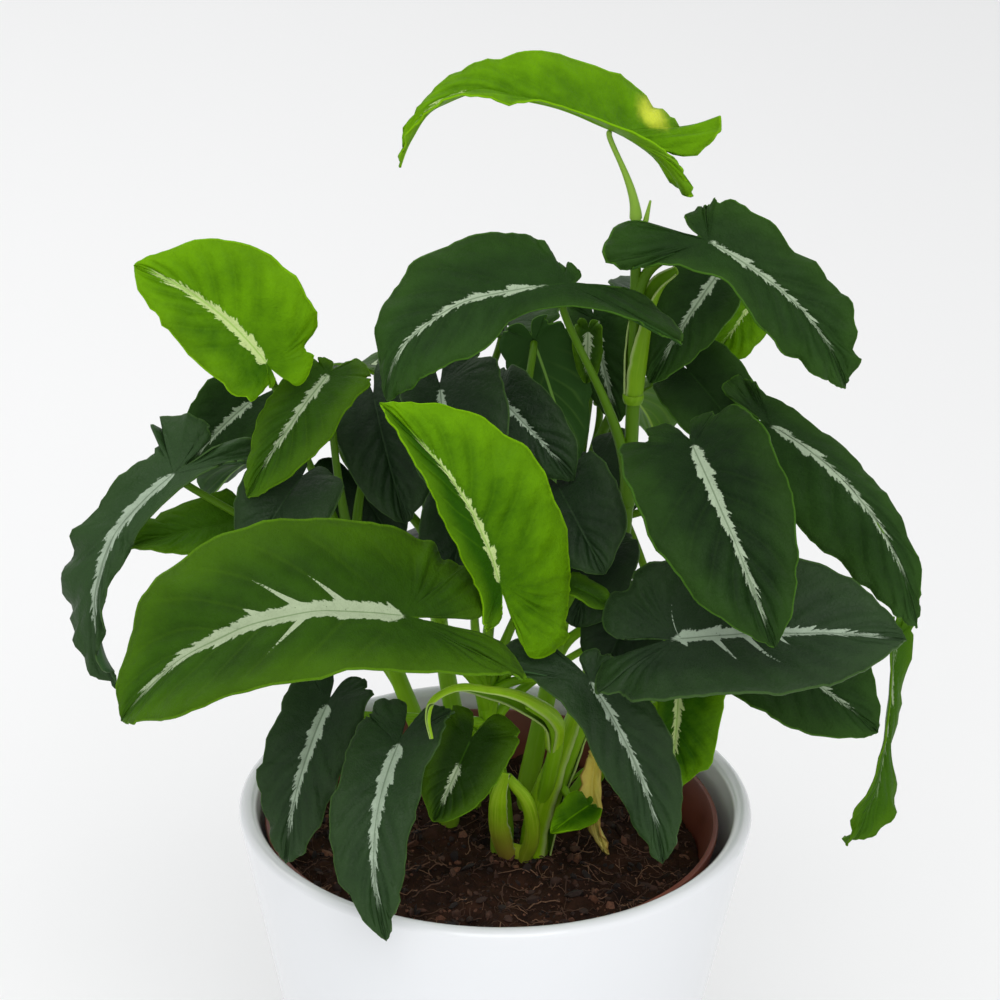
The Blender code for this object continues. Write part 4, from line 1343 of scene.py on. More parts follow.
@dataclass(frozen=True)
class Shoot:
    """One stem: the points its centre line passes, its radii from the soil to the top, its growths."""

    node: str
    path: tuple[Point, ...]
    radii: tuple[float, ...]
    sprouts: tuple[Sprout, ...] = ()

    ROOT = 14.0
    SOIL_TOP = 105.0
    POINTS = 40
    SIDES = 14
    STALK_POINTS = 30
    STALK_SIDES = 10
    STALK_RADII = (1.75, 1.0)
    STALK_THINS = (0.0, 0.6)
    COLLAR = 0.5
    COLLAR_LENGTH = 0.10
    GAP = 0.75
    LEAD = 0.02

    def line(self, shares: Numbers) -> np.ndarray:
        """Points of the centre line above the soil."""
        return spline(self.path, shares)

    def petiole(self, blade: Blade) -> np.ndarray:
        """Points of a leaf's stalk, from inside its stem to the blade's joint.

        Args:
            blade: the leaf's blade.

        Returns:
            The points of its centre line.
        """
        joint, up = blade.axes()[0], blade.joint_normal()
        end = joint - up * self.GAP
        start, before = self.line([blade.height, max(blade.height - self.LEAD, 0)])
        if blade.height < self.LEAD:
            before = start - (0, 0, 1)
        first = start + unit(start - before) * blade.rise
        second = end - up * blade.reach
        t = np.linspace(0, 1, self.STALK_POINTS)[:, None]
        return (1 - t) ** 3 * start + 3 * t * (1 - t) ** 2 * first + 3 * t**2 * (1 - t) * second + t**3 * end

    def stem(self) -> bpy.types.Object:
        """Makes the stem, with its foot down in the soil.

        Returns:
            The stem.
        """
        x, y, _ = self.path[0]
        share = np.linspace(0, 1, self.POINTS)
        points = np.vstack([(x, y, self.SOIL_TOP - self.ROOT), self.line(share)])
        radii = np.concatenate([[self.radii[0]], profile(self.radii, share)])
        return tube(f"{self.node}_stem", points, radii, self.SIDES)

    def stalk(self, blade: Blade) -> bpy.types.Object:
        """Makes one leaf's stalk, thicker where it leaves the stem.

        Args:
            blade: the leaf's blade.

        Returns:
            The stalk.
        """
        share = np.linspace(0, 1, self.STALK_POINTS)
        width = lerp(*self.STALK_RADII, smooth(share, *self.STALK_THINS))
        width = width + self.COLLAR * np.exp(-((share / self.COLLAR_LENGTH) ** 2))
        return tube(f"{blade.node}_stalk", self.petiole(blade), blade.stalk * width, self.STALK_SIDES)

    def build(self, blades: list[Blade], material: bpy.types.Material) -> bpy.types.Object:
        """Makes the stem with the stalks of its leaves and its growths.

        Args:
            blades: the blades that it carries.
            material: the finish.

        Returns:
            The piece.
        """
        parts = [self.stem()] + [self.stalk(blade) for blade in blades]
        parts += [sprout.build(f"{self.node}_sprout") for sprout in self.sprouts]
        obj = join(parts, f"{self.node}_growth")
        paint_with(obj, material)
        smooth_shade(obj)
        finish_piece(obj, "stalk", self.node)
        return obj


SIDEWAYS = (0, 1, 0.2)
LEAST_RADIUS = 0.05
CAP_LENGTH = 0.5
CAP = ((0.5, 0.87), (0.87, 0.5), (1.0, 0.0))


def frames(line: np.ndarray) -> tuple[np.ndarray, np.ndarray]:
    """Finds directions across a line, carried along it without twist.

    Args:
        line: points of the line.

    Returns:
        Two directions for each point, square to the line and to each other.
    """
    tangent = unit(np.gradient(line, axis=0))
    sides = [unit(np.cross(tangent[0], SIDEWAYS))]
    for t in tangent[1:]:
        sides.append(unit(sides[-1] - t * sides[-1].dot(t)))
    side = np.array(sides)
    return side, np.cross(tangent, side)


def tube(name: str, line: np.ndarray, radii: np.ndarray, sides: int) -> bpy.types.Object:
    """A closed round tube with rounded ends.

    Args:
        name: the piece's name.
        line: points of its centre line.
        radii: its radius at each of them.
        sides: how many faces it has around.

    Returns:
        The piece, with its grid's map running around and along it.
    """
    radii = np.maximum(radii, LEAST_RADIUS)
    back, ahead = unit(line[0] - line[1]), unit(line[-1] - line[-2])
    head = [(line[0] + back * radii[0] * CAP_LENGTH * far, radii[0] * wide) for far, wide in reversed(CAP)]
    tail = [(line[-1] + ahead * radii[-1] * CAP_LENGTH * far, radii[-1] * wide) for far, wide in CAP]
    points = np.array([p for p, _ in head] + list(line) + [p for p, _ in tail])
    widths = np.array([r for _, r in head] + list(radii) + [r for _, r in tail])
    side, across = frames(points)
    obj, flat = grid_sheet(name, sides, len(points) - 1)
    row = np.rint((flat[:, 1] + 1) / 2 * (len(points) - 1)).astype(int)
    around = ring((flat[:, 0] + 1) * math.pi, side[row], across[row])
    place(obj, points[row] + widths[row][:, None] * around)
    weld(obj)
    return obj


@dataclass(frozen=True)
class Turned:
    """A pot made by spinning its profile about its own upright axis."""

    node: str
    slot: str
    sides: int
    finish: PotFinish
    centre: tuple[float, float] = (0.0, 0.0)

    def spin(self, outline: list[tuple[float, float]]) -> bpy.types.Object:
        """Spins a profile into a solid.

        Args:
            outline: (radius, height) points, which run up outside and down inside.

        Returns:
            The piece.
        """
        deselect()
        bpy.ops.mesh.primitive_plane_add(size=1)
        obj = bpy.context.active_object
        obj.name = obj.data.name = f"{self.node}_shell"
        obj.data.clear_geometry()
        points = [(radius * MM, 0, height * MM) for radius, height in outline]
        obj.data.from_pydata(points, [(k, k + 1) for k in range(len(points) - 1)], [])
        pick(obj)
        bpy.ops.object.mode_set(mode="EDIT")
        bpy.ops.mesh.select_all(action="SELECT")
        bpy.ops.mesh.spin(steps=self.sides, angle=FULL_TURN, center=(0, 0, 0), axis=(0, 0, 1))
        bpy.ops.object.mode_set(mode="OBJECT")
        weld(obj)
        obj.data.transform(Matrix.Translation((self.centre[0] * MM, self.centre[1] * MM, 0)))
        return obj

    def dress(self, obj: bpy.types.Object, crease: float) -> bpy.types.Object:
        """Gives the pot its finish and its place.

        Args:
            obj: the piece.
            crease: the angle from which its edges stay crisp.

        Returns:
            The piece.
        """
        paint_with(obj, self.finish.make())
        smooth_shade(obj, crease)
        finish_piece(obj, self.slot, self.node)
        return obj


@dataclass(frozen=True)
class CoverPot(Turned):
    """The white outer pot: a glazed cone with a rounded foot and a rounded lip."""

    height: float = 122.0
    rim: float = 70.0
    mouth: float = 65.0
    base: float = 47.0
    foot: float = 3.0
    floor: float = 5.0
    floor_radius: float = 44.5
    floor_round: tuple[float, float] = (2.0, 0.6)
    lip_drop: float = 2.0
    foot_points: int = 6
    lip_points: int = 13
    crease: float = 50.0

    def build(self) -> bpy.types.Object:
        """Makes the pot.

        Returns:
            The piece.
        """
        lip = (self.rim - self.mouth) / 2
        foot = [(self.base - self.foot + self.foot * math.sin(a), self.foot - self.foot * math.cos(a))
                for a in np.linspace(0, math.pi / 2, self.foot_points)]
        top = self.height - self.lip_drop
        bow = [(self.mouth + lip + lip * math.cos(a), top + self.lip_drop * math.sin(a))
               for a in np.linspace(0, math.pi, self.lip_points)]
        far, near = self.floor_round
        inner = [(self.floor_radius, self.floor + far), (self.floor_radius - near, self.floor + near),
                 (self.floor_radius - far, self.floor)]
        return self.dress(self.spin([(0, 0)] + foot + bow + inner + [(0, self.floor)]), self.crease)


@dataclass(frozen=True)
class NurseryPot(Turned):
    """The thin plastic pot inside, with a rim band and drain holes in its floor."""

    height: float = 112.5
    rim: float = 62.0
    base: float = 40.0
    wall: float = 1.0
    band_wall: float = 1.7
    band: float = 9.0
    step: float = 0.8
    step_height: float = 0.5
    bevel: float = 0.8
    rim_round: tuple[float, float] = (0.25, 0.2)
    lip_round: tuple[float, float] = (0.3, 0.4)
    inset: float = 1.0
    floor: float = 1.4
    stand: float = 5.3
    drain_circle: float = 26.0
    drain_radius: float = 4.0
    drain_sides: int = 24
    drains: int = 6
    crease: float = 40.0

    def radius(self, height: float) -> float:
        """Outer radius of the wall at a height above the pot's own foot."""
        return lerp(self.base, self.rim - self.inset, height / self.height)

    def drain_pegs(self) -> bpy.types.Object:
        """Makes the round pegs that cut the drain holes.

        Returns:
            The pegs as one object.
        """
        pegs = []
        for k in range(self.drains):
            angle = FULL_TURN * k / self.drains
            deselect()
            spot = (self.centre[0] + self.drain_circle * math.cos(angle),
                    self.centre[1] + self.drain_circle * math.sin(angle), self.stand + self.floor / 2)
            bpy.ops.mesh.primitive_cylinder_add(vertices=self.drain_sides, radius=self.drain_radius * MM,
                                                depth=4 * self.floor * MM, location=Vector(spot) * MM)
            pegs.append(bpy.context.active_object)
        return join(pegs, "drain_pegs")

    def build(self) -> bpy.types.Object:
        """Makes the pot.

        Returns:
            The piece.
        """
        low, top = self.height - self.band, self.height
        aside, down = self.rim_round
        outer = [(0, 0), (self.base - self.bevel, 0), (self.base, self.bevel), (self.radius(low), low),
                 (self.radius(low) + self.step, low + self.step_height), (self.rim, top - self.bevel),
                 (self.rim - aside, top - down), (self.rim - self.bevel, top)]
        lip = self.rim - self.band_wall
        aside, down = self.lip_round
        inner = [(lip + aside, top), (lip, top - down), (self.radius(low) - self.wall, low),
                 (self.base - self.wall, self.floor), (0, self.floor)]
        obj = self.spin([(radius, height + self.stand) for radius, height in outer + inner])
        cutter = self.drain_pegs()
        modify(obj, "BOOLEAN", object=cutter, operation="DIFFERENCE", solver="EXACT")
        bpy.data.objects.remove(cutter)
        return self.dress(obj, self.crease)


@dataclass(frozen=True)
class Soil:
    """The peat in the nursery pot: a lumpy bed with crumbs and pale fibres on it."""

    centre: tuple[float, float]
    pot: NurseryPot
    top: float = 105.0
    lump: float = 1.6
    swell: tuple[float, float, float, float] = (0.6, 0.21, 0.17, 0.6)
    ripples: tuple[float, float, float] = (0.4, 0.43, 0.37)
    gap: float = 0.5
    clearance: float = 0.3
    cells: int = 150
    crumbs: int = 2600
    fibres: int = 620
    seed: int = 7
    crease: float = 40.0
    peat: PeatFinish = PeatFinish()
    crumb_finish: BitFinish = BitFinish("soil_crumbs_finish", (0.008, 0.004, 0.003), (0.170, 0.068, 0.034))
    fibre_finish: BitFinish = BitFinish("soil_fibres_finish", (0.055, 0.023, 0.012), (0.27, 0.145, 0.080))

    # Finer lumps: how close they lie, which layer of the noise, its octaves' falls and count, the height.
    FINE_LUMPS = (0.16, 3.1, (0.8, 2.2, 5), 1.5)
    GRAINS = (0.7, 9.7, (0.7, 2.1, 3), 0.55)
    EDGE_FREE = 2.5

    # Crumbs: the least size, the range and how rare the big ones are, then the same for the stretch.
    CRUMB_SIZE = (0.30, 1.30, 6)
    CRUMB_STRETCH = (0.3, 1.5, 1.5)
    KNOB = 0.35
    KNOB_SIZE = 1.6
    CRUMB_LIFT = 0.2

    # Fibres: the least length, the range and its power, then the same for the radius.
    FIBRE_LENGTH = (3.0, 10.0, 2)
    FIBRE_RADIUS = (0.07, 0.13, 2)
    FIBRE_BEND = 1.2
    FIBRE_POINTS = 9
    FIBRE_SIDES = 4
    FIBRE_EDGE_FREE = 1.5
    FIBRE_LIFT = 0.25
    FIBRE_RISE = 0.9

    def edge(self) -> float:
        """Radius of the bed at its top."""
        return self.pot.radius(self.top - self.pot.stand) - self.pot.wall - self.gap

    def height(self, x: float, y: float) -> float:
        """Height of the surface, with the plain lumps of the solid and finer ones.

        Args:
            x: the place to the right.
            y: the place towards the back.

        Returns:
            The height there.
        """
        high, across, along, phase = self.swell
        swell = high * math.sin(x * across + phase) * math.cos(y * along)
        low, across, along = self.ripples
        total = self.top + self.lump * (swell + low * math.sin(x * across - y * along))
        for close, layer, octaves, size in (self.FINE_LUMPS, self.GRAINS):
            total += noise.fractal((x * close, y * close, layer), *octaves) * size
        return total

    def build(self) -> list[bpy.types.Object]:
        """Makes the bed, the crumbs and the fibres.

        Returns:
            The three pieces.
        """
        draw = np.random.default_rng(self.seed)
        pieces = [self.bed(), self.scatter_crumbs(draw), self.scatter_fibres(draw)]
        for obj, nodes in zip(pieces, (("soil",), (), ())):
            smooth_shade(obj, self.crease)
            finish_piece(obj, "soil", *nodes)
        return pieces

    def bed(self) -> bpy.types.Object:
        """Makes the lumpy plug: its top, its tapered side and its floor.

        Returns:
            The piece.
        """
        obj, flat = grid_sheet("soil_bed", self.cells, self.cells)
        x, y = flat[:, 0], flat[:, 1]
        disc = np.stack([x * np.sqrt(1 - y**2 / 2), y * np.sqrt(1 - x**2 / 2)], -1) * self.edge()
        place_x, place_y = disc[:, 0] + self.centre[0], disc[:, 1] + self.centre[1]
        height = [self.height(a, b) for a, b in zip(place_x, place_y)]
        place(obj, np.stack([place_x, place_y, height], -1))
        pick(obj)
        bpy.ops.object.mode_set(mode="EDIT")
        bpy.ops.mesh.select_mode(type="EDGE")
        bpy.ops.mesh.select_all(action="DESELECT")
        bpy.ops.mesh.select_non_manifold()
        low = self.pot.stand + self.pot.floor + self.clearance
        shrink = (self.pot.radius(low - self.pot.stand) - self.pot.wall - self.gap) / self.edge()
        bpy.ops.mesh.extrude_region_move()
        bpy.ops.mesh.select_mode(type="VERT")
        middle = (self.centre[0] * MM, self.centre[1] * MM, low * MM)
        bpy.ops.transform.resize(value=(shrink, shrink, 0), center_override=middle)
        bpy.ops.mesh.edge_face_add()
        bpy.ops.mesh.select_all(action="SELECT")
        bpy.ops.mesh.normals_make_consistent(inside=False)
        bpy.ops.object.mode_set(mode="OBJECT")
        paint_with(obj, self.peat.make())
        return obj

    def spots(self, draw: np.random.Generator, count: int) -> np.ndarray:
        """Random places on the bed.

        Args:
            draw: where the random numbers come from.
            count: how many places.

        Returns:
            The places, to the right and towards the back.
        """
        radius = np.sqrt(draw.random(count)) * (self.edge() - self.EDGE_FREE)
        angle = draw.random(count) * FULL_TURN
        x, y = self.centre
        return np.stack([radius * np.cos(angle) + x, radius * np.sin(angle) + y], -1)

    def scatter_crumbs(self, draw: np.random.Generator) -> bpy.types.Object:
        """Crumbs of peat and bark that lie half sunk in the bed.

        Args:
            draw: where the random numbers come from.

        Returns:
            The piece.
        """
        deselect()
        bpy.ops.mesh.primitive_ico_sphere_add(subdivisions=1, radius=1)
        model = bpy.context.active_object
        ball = np.array([v.co for v in model.data.vertices])
        faces = np.array([tuple(p.vertices) for p in model.data.polygons])
        bpy.data.objects.remove(model)
        points, polygons, shades = [], [], []
        for k, (x, y) in enumerate(self.spots(draw, self.crumbs)):
            size = ranged(self.CRUMB_SIZE, draw.random())
            stretch = size * ranged(self.CRUMB_STRETCH, draw.random(3))
            apart = Vector((k, 0, 0))
            knobs = [1 + self.KNOB * noise.noise(Vector(p) * self.KNOB_SIZE + apart) for p in ball]
            angle, axis = draw.random() * FULL_TURN, Vector(draw.normal(size=3)).normalized()
            turn = np.array(Matrix.Rotation(angle, 3, axis))
            shape = (ball * np.array(knobs)[:, None] * stretch) @ turn.T
            points.append(shape + (x, y, self.height(x, y) + self.CRUMB_LIFT * size))
            polygons.append(faces + len(ball) * k)
            shades.append(np.full(len(ball), draw.random()))
        return bits("soil_crumbs", points, np.vstack(polygons), shades, self.crumb_finish)

    def fibre(self, draw: np.random.Generator, spot: np.ndarray) -> np.ndarray:
        """One thin bent fibre on the bed.

        Args:
            draw: where the random numbers come from.
            spot: where it lies.

        Returns:
            Its points, one ring of them after the other.
        """
        count = self.FIBRE_POINTS
        length = ranged(self.FIBRE_LENGTH, draw.random())
        angle, bend = draw.random() * FULL_TURN, draw.normal() * self.FIBRE_BEND
        radius = ranged(self.FIBRE_RADIUS, draw.random())
        t = np.linspace(-0.5, 0.5, count)
        heading = angle + bend * t
        line = np.cumsum(np.stack([np.cos(heading), np.sin(heading)], -1), 0) * length / count
        line = line - line[count // 2] + spot
        away = np.hypot(line[:, 0] - self.centre[0], line[:, 1] - self.centre[1])
        reach = self.edge() - self.FIBRE_EDGE_FREE
        pull = np.minimum(1, reach / np.maximum(away, 1))[:, None]
        line = (line - self.centre) * pull + self.centre
        lifted = [self.height(a, b) + radius + self.FIBRE_LIFT + self.FIBRE_RISE * draw.random() * abs(s)
                  for (a, b), s in zip(line, t)]
        line = np.column_stack([line, lifted])
        side, over = frames(line)
        turn = np.arange(self.FIBRE_SIDES) * FULL_TURN / self.FIBRE_SIDES
        around = np.cos(turn)[None, :, None] * side[:, None] + np.sin(turn)[None, :, None] * over[:, None]
        return (line[:, None] + radius * around).reshape(-1, 3)

    def scatter_fibres(self, draw: np.random.Generator) -> bpy.types.Object:
        """Thin bent fibres that lie on the bed.

        Args:
            draw: where the random numbers come from.

        Returns:
            The piece.
        """
        points, polygons, shades = [], [], []
        count, sides = self.FIBRE_POINTS, self.FIBRE_SIDES
        for k, spot in enumerate(self.spots(draw, self.fibres)):
            points.append(self.fibre(draw, spot))
            base = count * sides * k
            for row in range(count - 1):
                for s in range(sides):
                    a, b = base + row * sides + s, base + row * sides + (s + 1) % sides
                    polygons.append((a, b, b + sides, a + sides))
            polygons.append(tuple(base + s for s in reversed(range(sides))))
            polygons.append(tuple(base + (count - 1) * sides + s for s in range(sides)))
            shades.append(np.full(count * sides, draw.random()))
        return bits("soil_fibres", points, polygons, shades, self.fibre_finish)


def ranged(limits: tuple[float, float, float], draw: float | np.ndarray) -> float | np.ndarray:
    """A random size from the least one, the range above it and the power that makes big ones rare."""
    least, span, power = limits
    return least + span * draw**power


def bits(name: str, points: list, faces: Sequence, shades: list, finish: BitFinish) -> bpy.types.Object:
    """One mesh of many small bits, each with its own shade.

    Args:
        name: the piece's name.
        points: the points of each bit.
        faces: every face, by the numbers of its points.
        shades: the shade of each bit's points.
        finish: the finish.

    Returns:
        The piece.
    """
    mesh = bpy.data.meshes.new(name)
    mesh.from_pydata((np.vstack(points) * MM).tolist(), [], [tuple(int(i) for i in f) for f in faces])
    obj = bpy.data.objects.new(name, mesh)
    bpy.context.scene.collection.objects.link(obj)
    note(obj, "shade", np.concatenate(shades))
    weld(obj)
    paint_with(obj, finish.make())
    return obj


@dataclass(frozen=True)
class Wrap:
    """A sheath or a young leaf, rolled round its centre line and open along one side.

    radii and spans follow the path from its foot to its tip. A span is the share of the full turn that
    the sheet covers there, opening is where its slit looks, dry bleaches its free edges, and ruffle makes
    them uneven.
    """

    name: str
    path: tuple[Point, ...]
    radii: tuple[float, ...]
    spans: tuple[float, ...]
    opening: Point
    dry: float = 0.0
    ruffle: float = 0.05

    COLUMNS = 22
    ROWS = 60
    THICKNESS = 0.45
    RUFFLES = 11
    RUFFLES_APART = 5
    RUFFLED_ANGLE = 0.5

    def build(self, outer: bpy.types.Material, inner: bpy.types.Material) -> bpy.types.Object:
        """Makes the rolled sheet.

        Args:
            outer: the finish outside.
            inner: the finish inside.

        Returns:
            The piece.
        """
        obj, flat = grid_sheet(self.name, self.COLUMNS, self.ROWS)
        across, along = flat[:, 0], (flat[:, 1] + 1) / 2
        line = spline(self.path, np.linspace(0, 1, self.ROWS + 1))
        row = np.rint(along * self.ROWS).astype(int)
        tangent = unit(np.gradient(line, axis=0))
        slit = np.array(self.opening, float)
        front = unit(slit - tangent * (tangent @ slit)[:, None])
        side = np.cross(tangent, front)
        ragged = ripple(along * self.RUFFLES + self.RUFFLES_APART * (across > 0), len(self.name))
        radius = profile(self.radii, along) * (1 + self.ruffle * ragged * across**4)
        span = profile(self.spans, along) + self.RUFFLED_ANGLE * self.ruffle * ragged
        around = ring(math.pi * (1 + across * span), front[row], side[row])
        place(obj, line[row] + radius[:, None] * around)
        note(obj, "edge", np.abs(across))
        note(obj, "dry", np.full(len(across), self.dry))
        weld(obj, outward=False)
        paint_with(obj, outer, inner)
        thicken(obj, self.THICKNESS)
        smooth_shade(obj)
        finish_piece(obj, "stalk")
        return obj


SHOOTS = (
    Shoot("shoot_tall", ((11, 1, 112), (18, -1, 135), (27, 0, 165), (33, 4, 205), (34, 4, 250), (33, 2, 290)),
          (3.8, 3.6, 2.8, 1.9, 1.8, 1.1),
          (Sprout(((13, -2, 122), (15, -8, 137), (16, -12, 147), (14, -17, 156), (8, -23, 163)),
                  (2.2, 2.1, 1.9, 1.7, 1.0)),
           Sprout(((33, 4, 281), (35, 2, 287), (36.5, 1, 295)), (1.0, 0.9, 0.3)))),
    Shoot("shoot_front", ((2, 1, 112), (1, -2, 126), (-1, -8, 142), (-3, -14, 158)), (3.2, 2.2)),
    Shoot("shoot_left", ((-13, 15, 112), (-20, 14, 132), (-28, 12, 155), (-36, 9, 180)), (3.0, 2.0)),
    Shoot("shoot_right", ((22, 17, 112), (31, 13, 130), (40, 11, 150), (47, 8, 172)), (3.2, 2.0)),
    Shoot("shoot_back_left", ((-7, 25, 112), (-12, 30, 132), (-16, 34, 155), (-18, 36, 180)), (3.0, 2.0)),
    Shoot("shoot_back_right", ((9, 27, 112), (13, 32, 132), (17, 36, 155), (19, 38, 180)), (3.0, 2.0)),
)

WRAPS = (
    Wrap("young_leaf", ((15.5, -10, 144), (14.5, -16, 155), (6, -25, 165), (-3, -33, 171.5),
          (-10, -42, 177.5), (-16, -49, 178), (-17.5, -53, 175), (-16.5, -55, 170)),
         (2.2, 2.7, 2.7, 2.0, 1.15, 0.75, 0.5, 0.3), (0.96, 0.84, 0.66, 0.56, 0.66, 0.8, 0.9, 0.9),
         (-0.3, -0.85, -0.42)),
    Wrap("stem_sheath", ((11, 1, 104), (13.5, 0, 120), (18, -2, 135), (23, -1, 150), (27, 0, 166)),
         (4.4, 4.5, 4.1, 3.5, 2.7), (0.88, 0.84, 0.78, 0.7, 0.5), (0.8, -0.6, 0.0)),
    Wrap("left_sheath", ((4, -1, 104), (2, -6, 113), (1, -10, 121), (1, -12, 129), (3, -13, 138)),
         (2.2, 2.6, 2.6, 2.2, 1.3), (0.66, 0.62, 0.56, 0.5, 0.3), (0.5, 0.8, 0.0), dry=1.0, ruffle=0.12),
    Wrap("curved_stalk", ((8, -2, 104), (10, -7, 113), (10, -10, 121), (8, -12, 129), (3, -13, 136)),
         (1.8, 1.9, 1.8, 1.6, 1.2), (0.98, 0.97, 0.95, 0.92, 0.9), (-0.3, 0.9, 0.0), dry=0.4),
    Wrap("foot_sheath", ((7.5, 3, 103.5), (7.5, 2, 107), (7.5, 1.5, 110.5)), (5.4, 5.9, 5.2),
         (0.46, 0.42, 0.3), (0.1, 1.0, 0.0), dry=0.3, ruffle=0.1),
    Wrap("node_ring", ((34, 4.2, 238.4), (34, 4.2, 240), (34.1, 4.2, 241.6)), (2.2, 2.6, 2.2),
         (1.0, 1.0, 1.0), (0, 1, 0), dry=1.0),
    Wrap("upper_sheath",
         ((34, 4, 241), (34.4, 4, 252), (35.5, 3.3, 263), (38.5, 1.5, 272), (43, -2, 277.5)),
         (2.4, 2.9, 2.8, 2.1, 1.2), (0.97, 0.86, 0.68, 0.55, 0.42), (-0.8, -0.5, 0.3)),
)

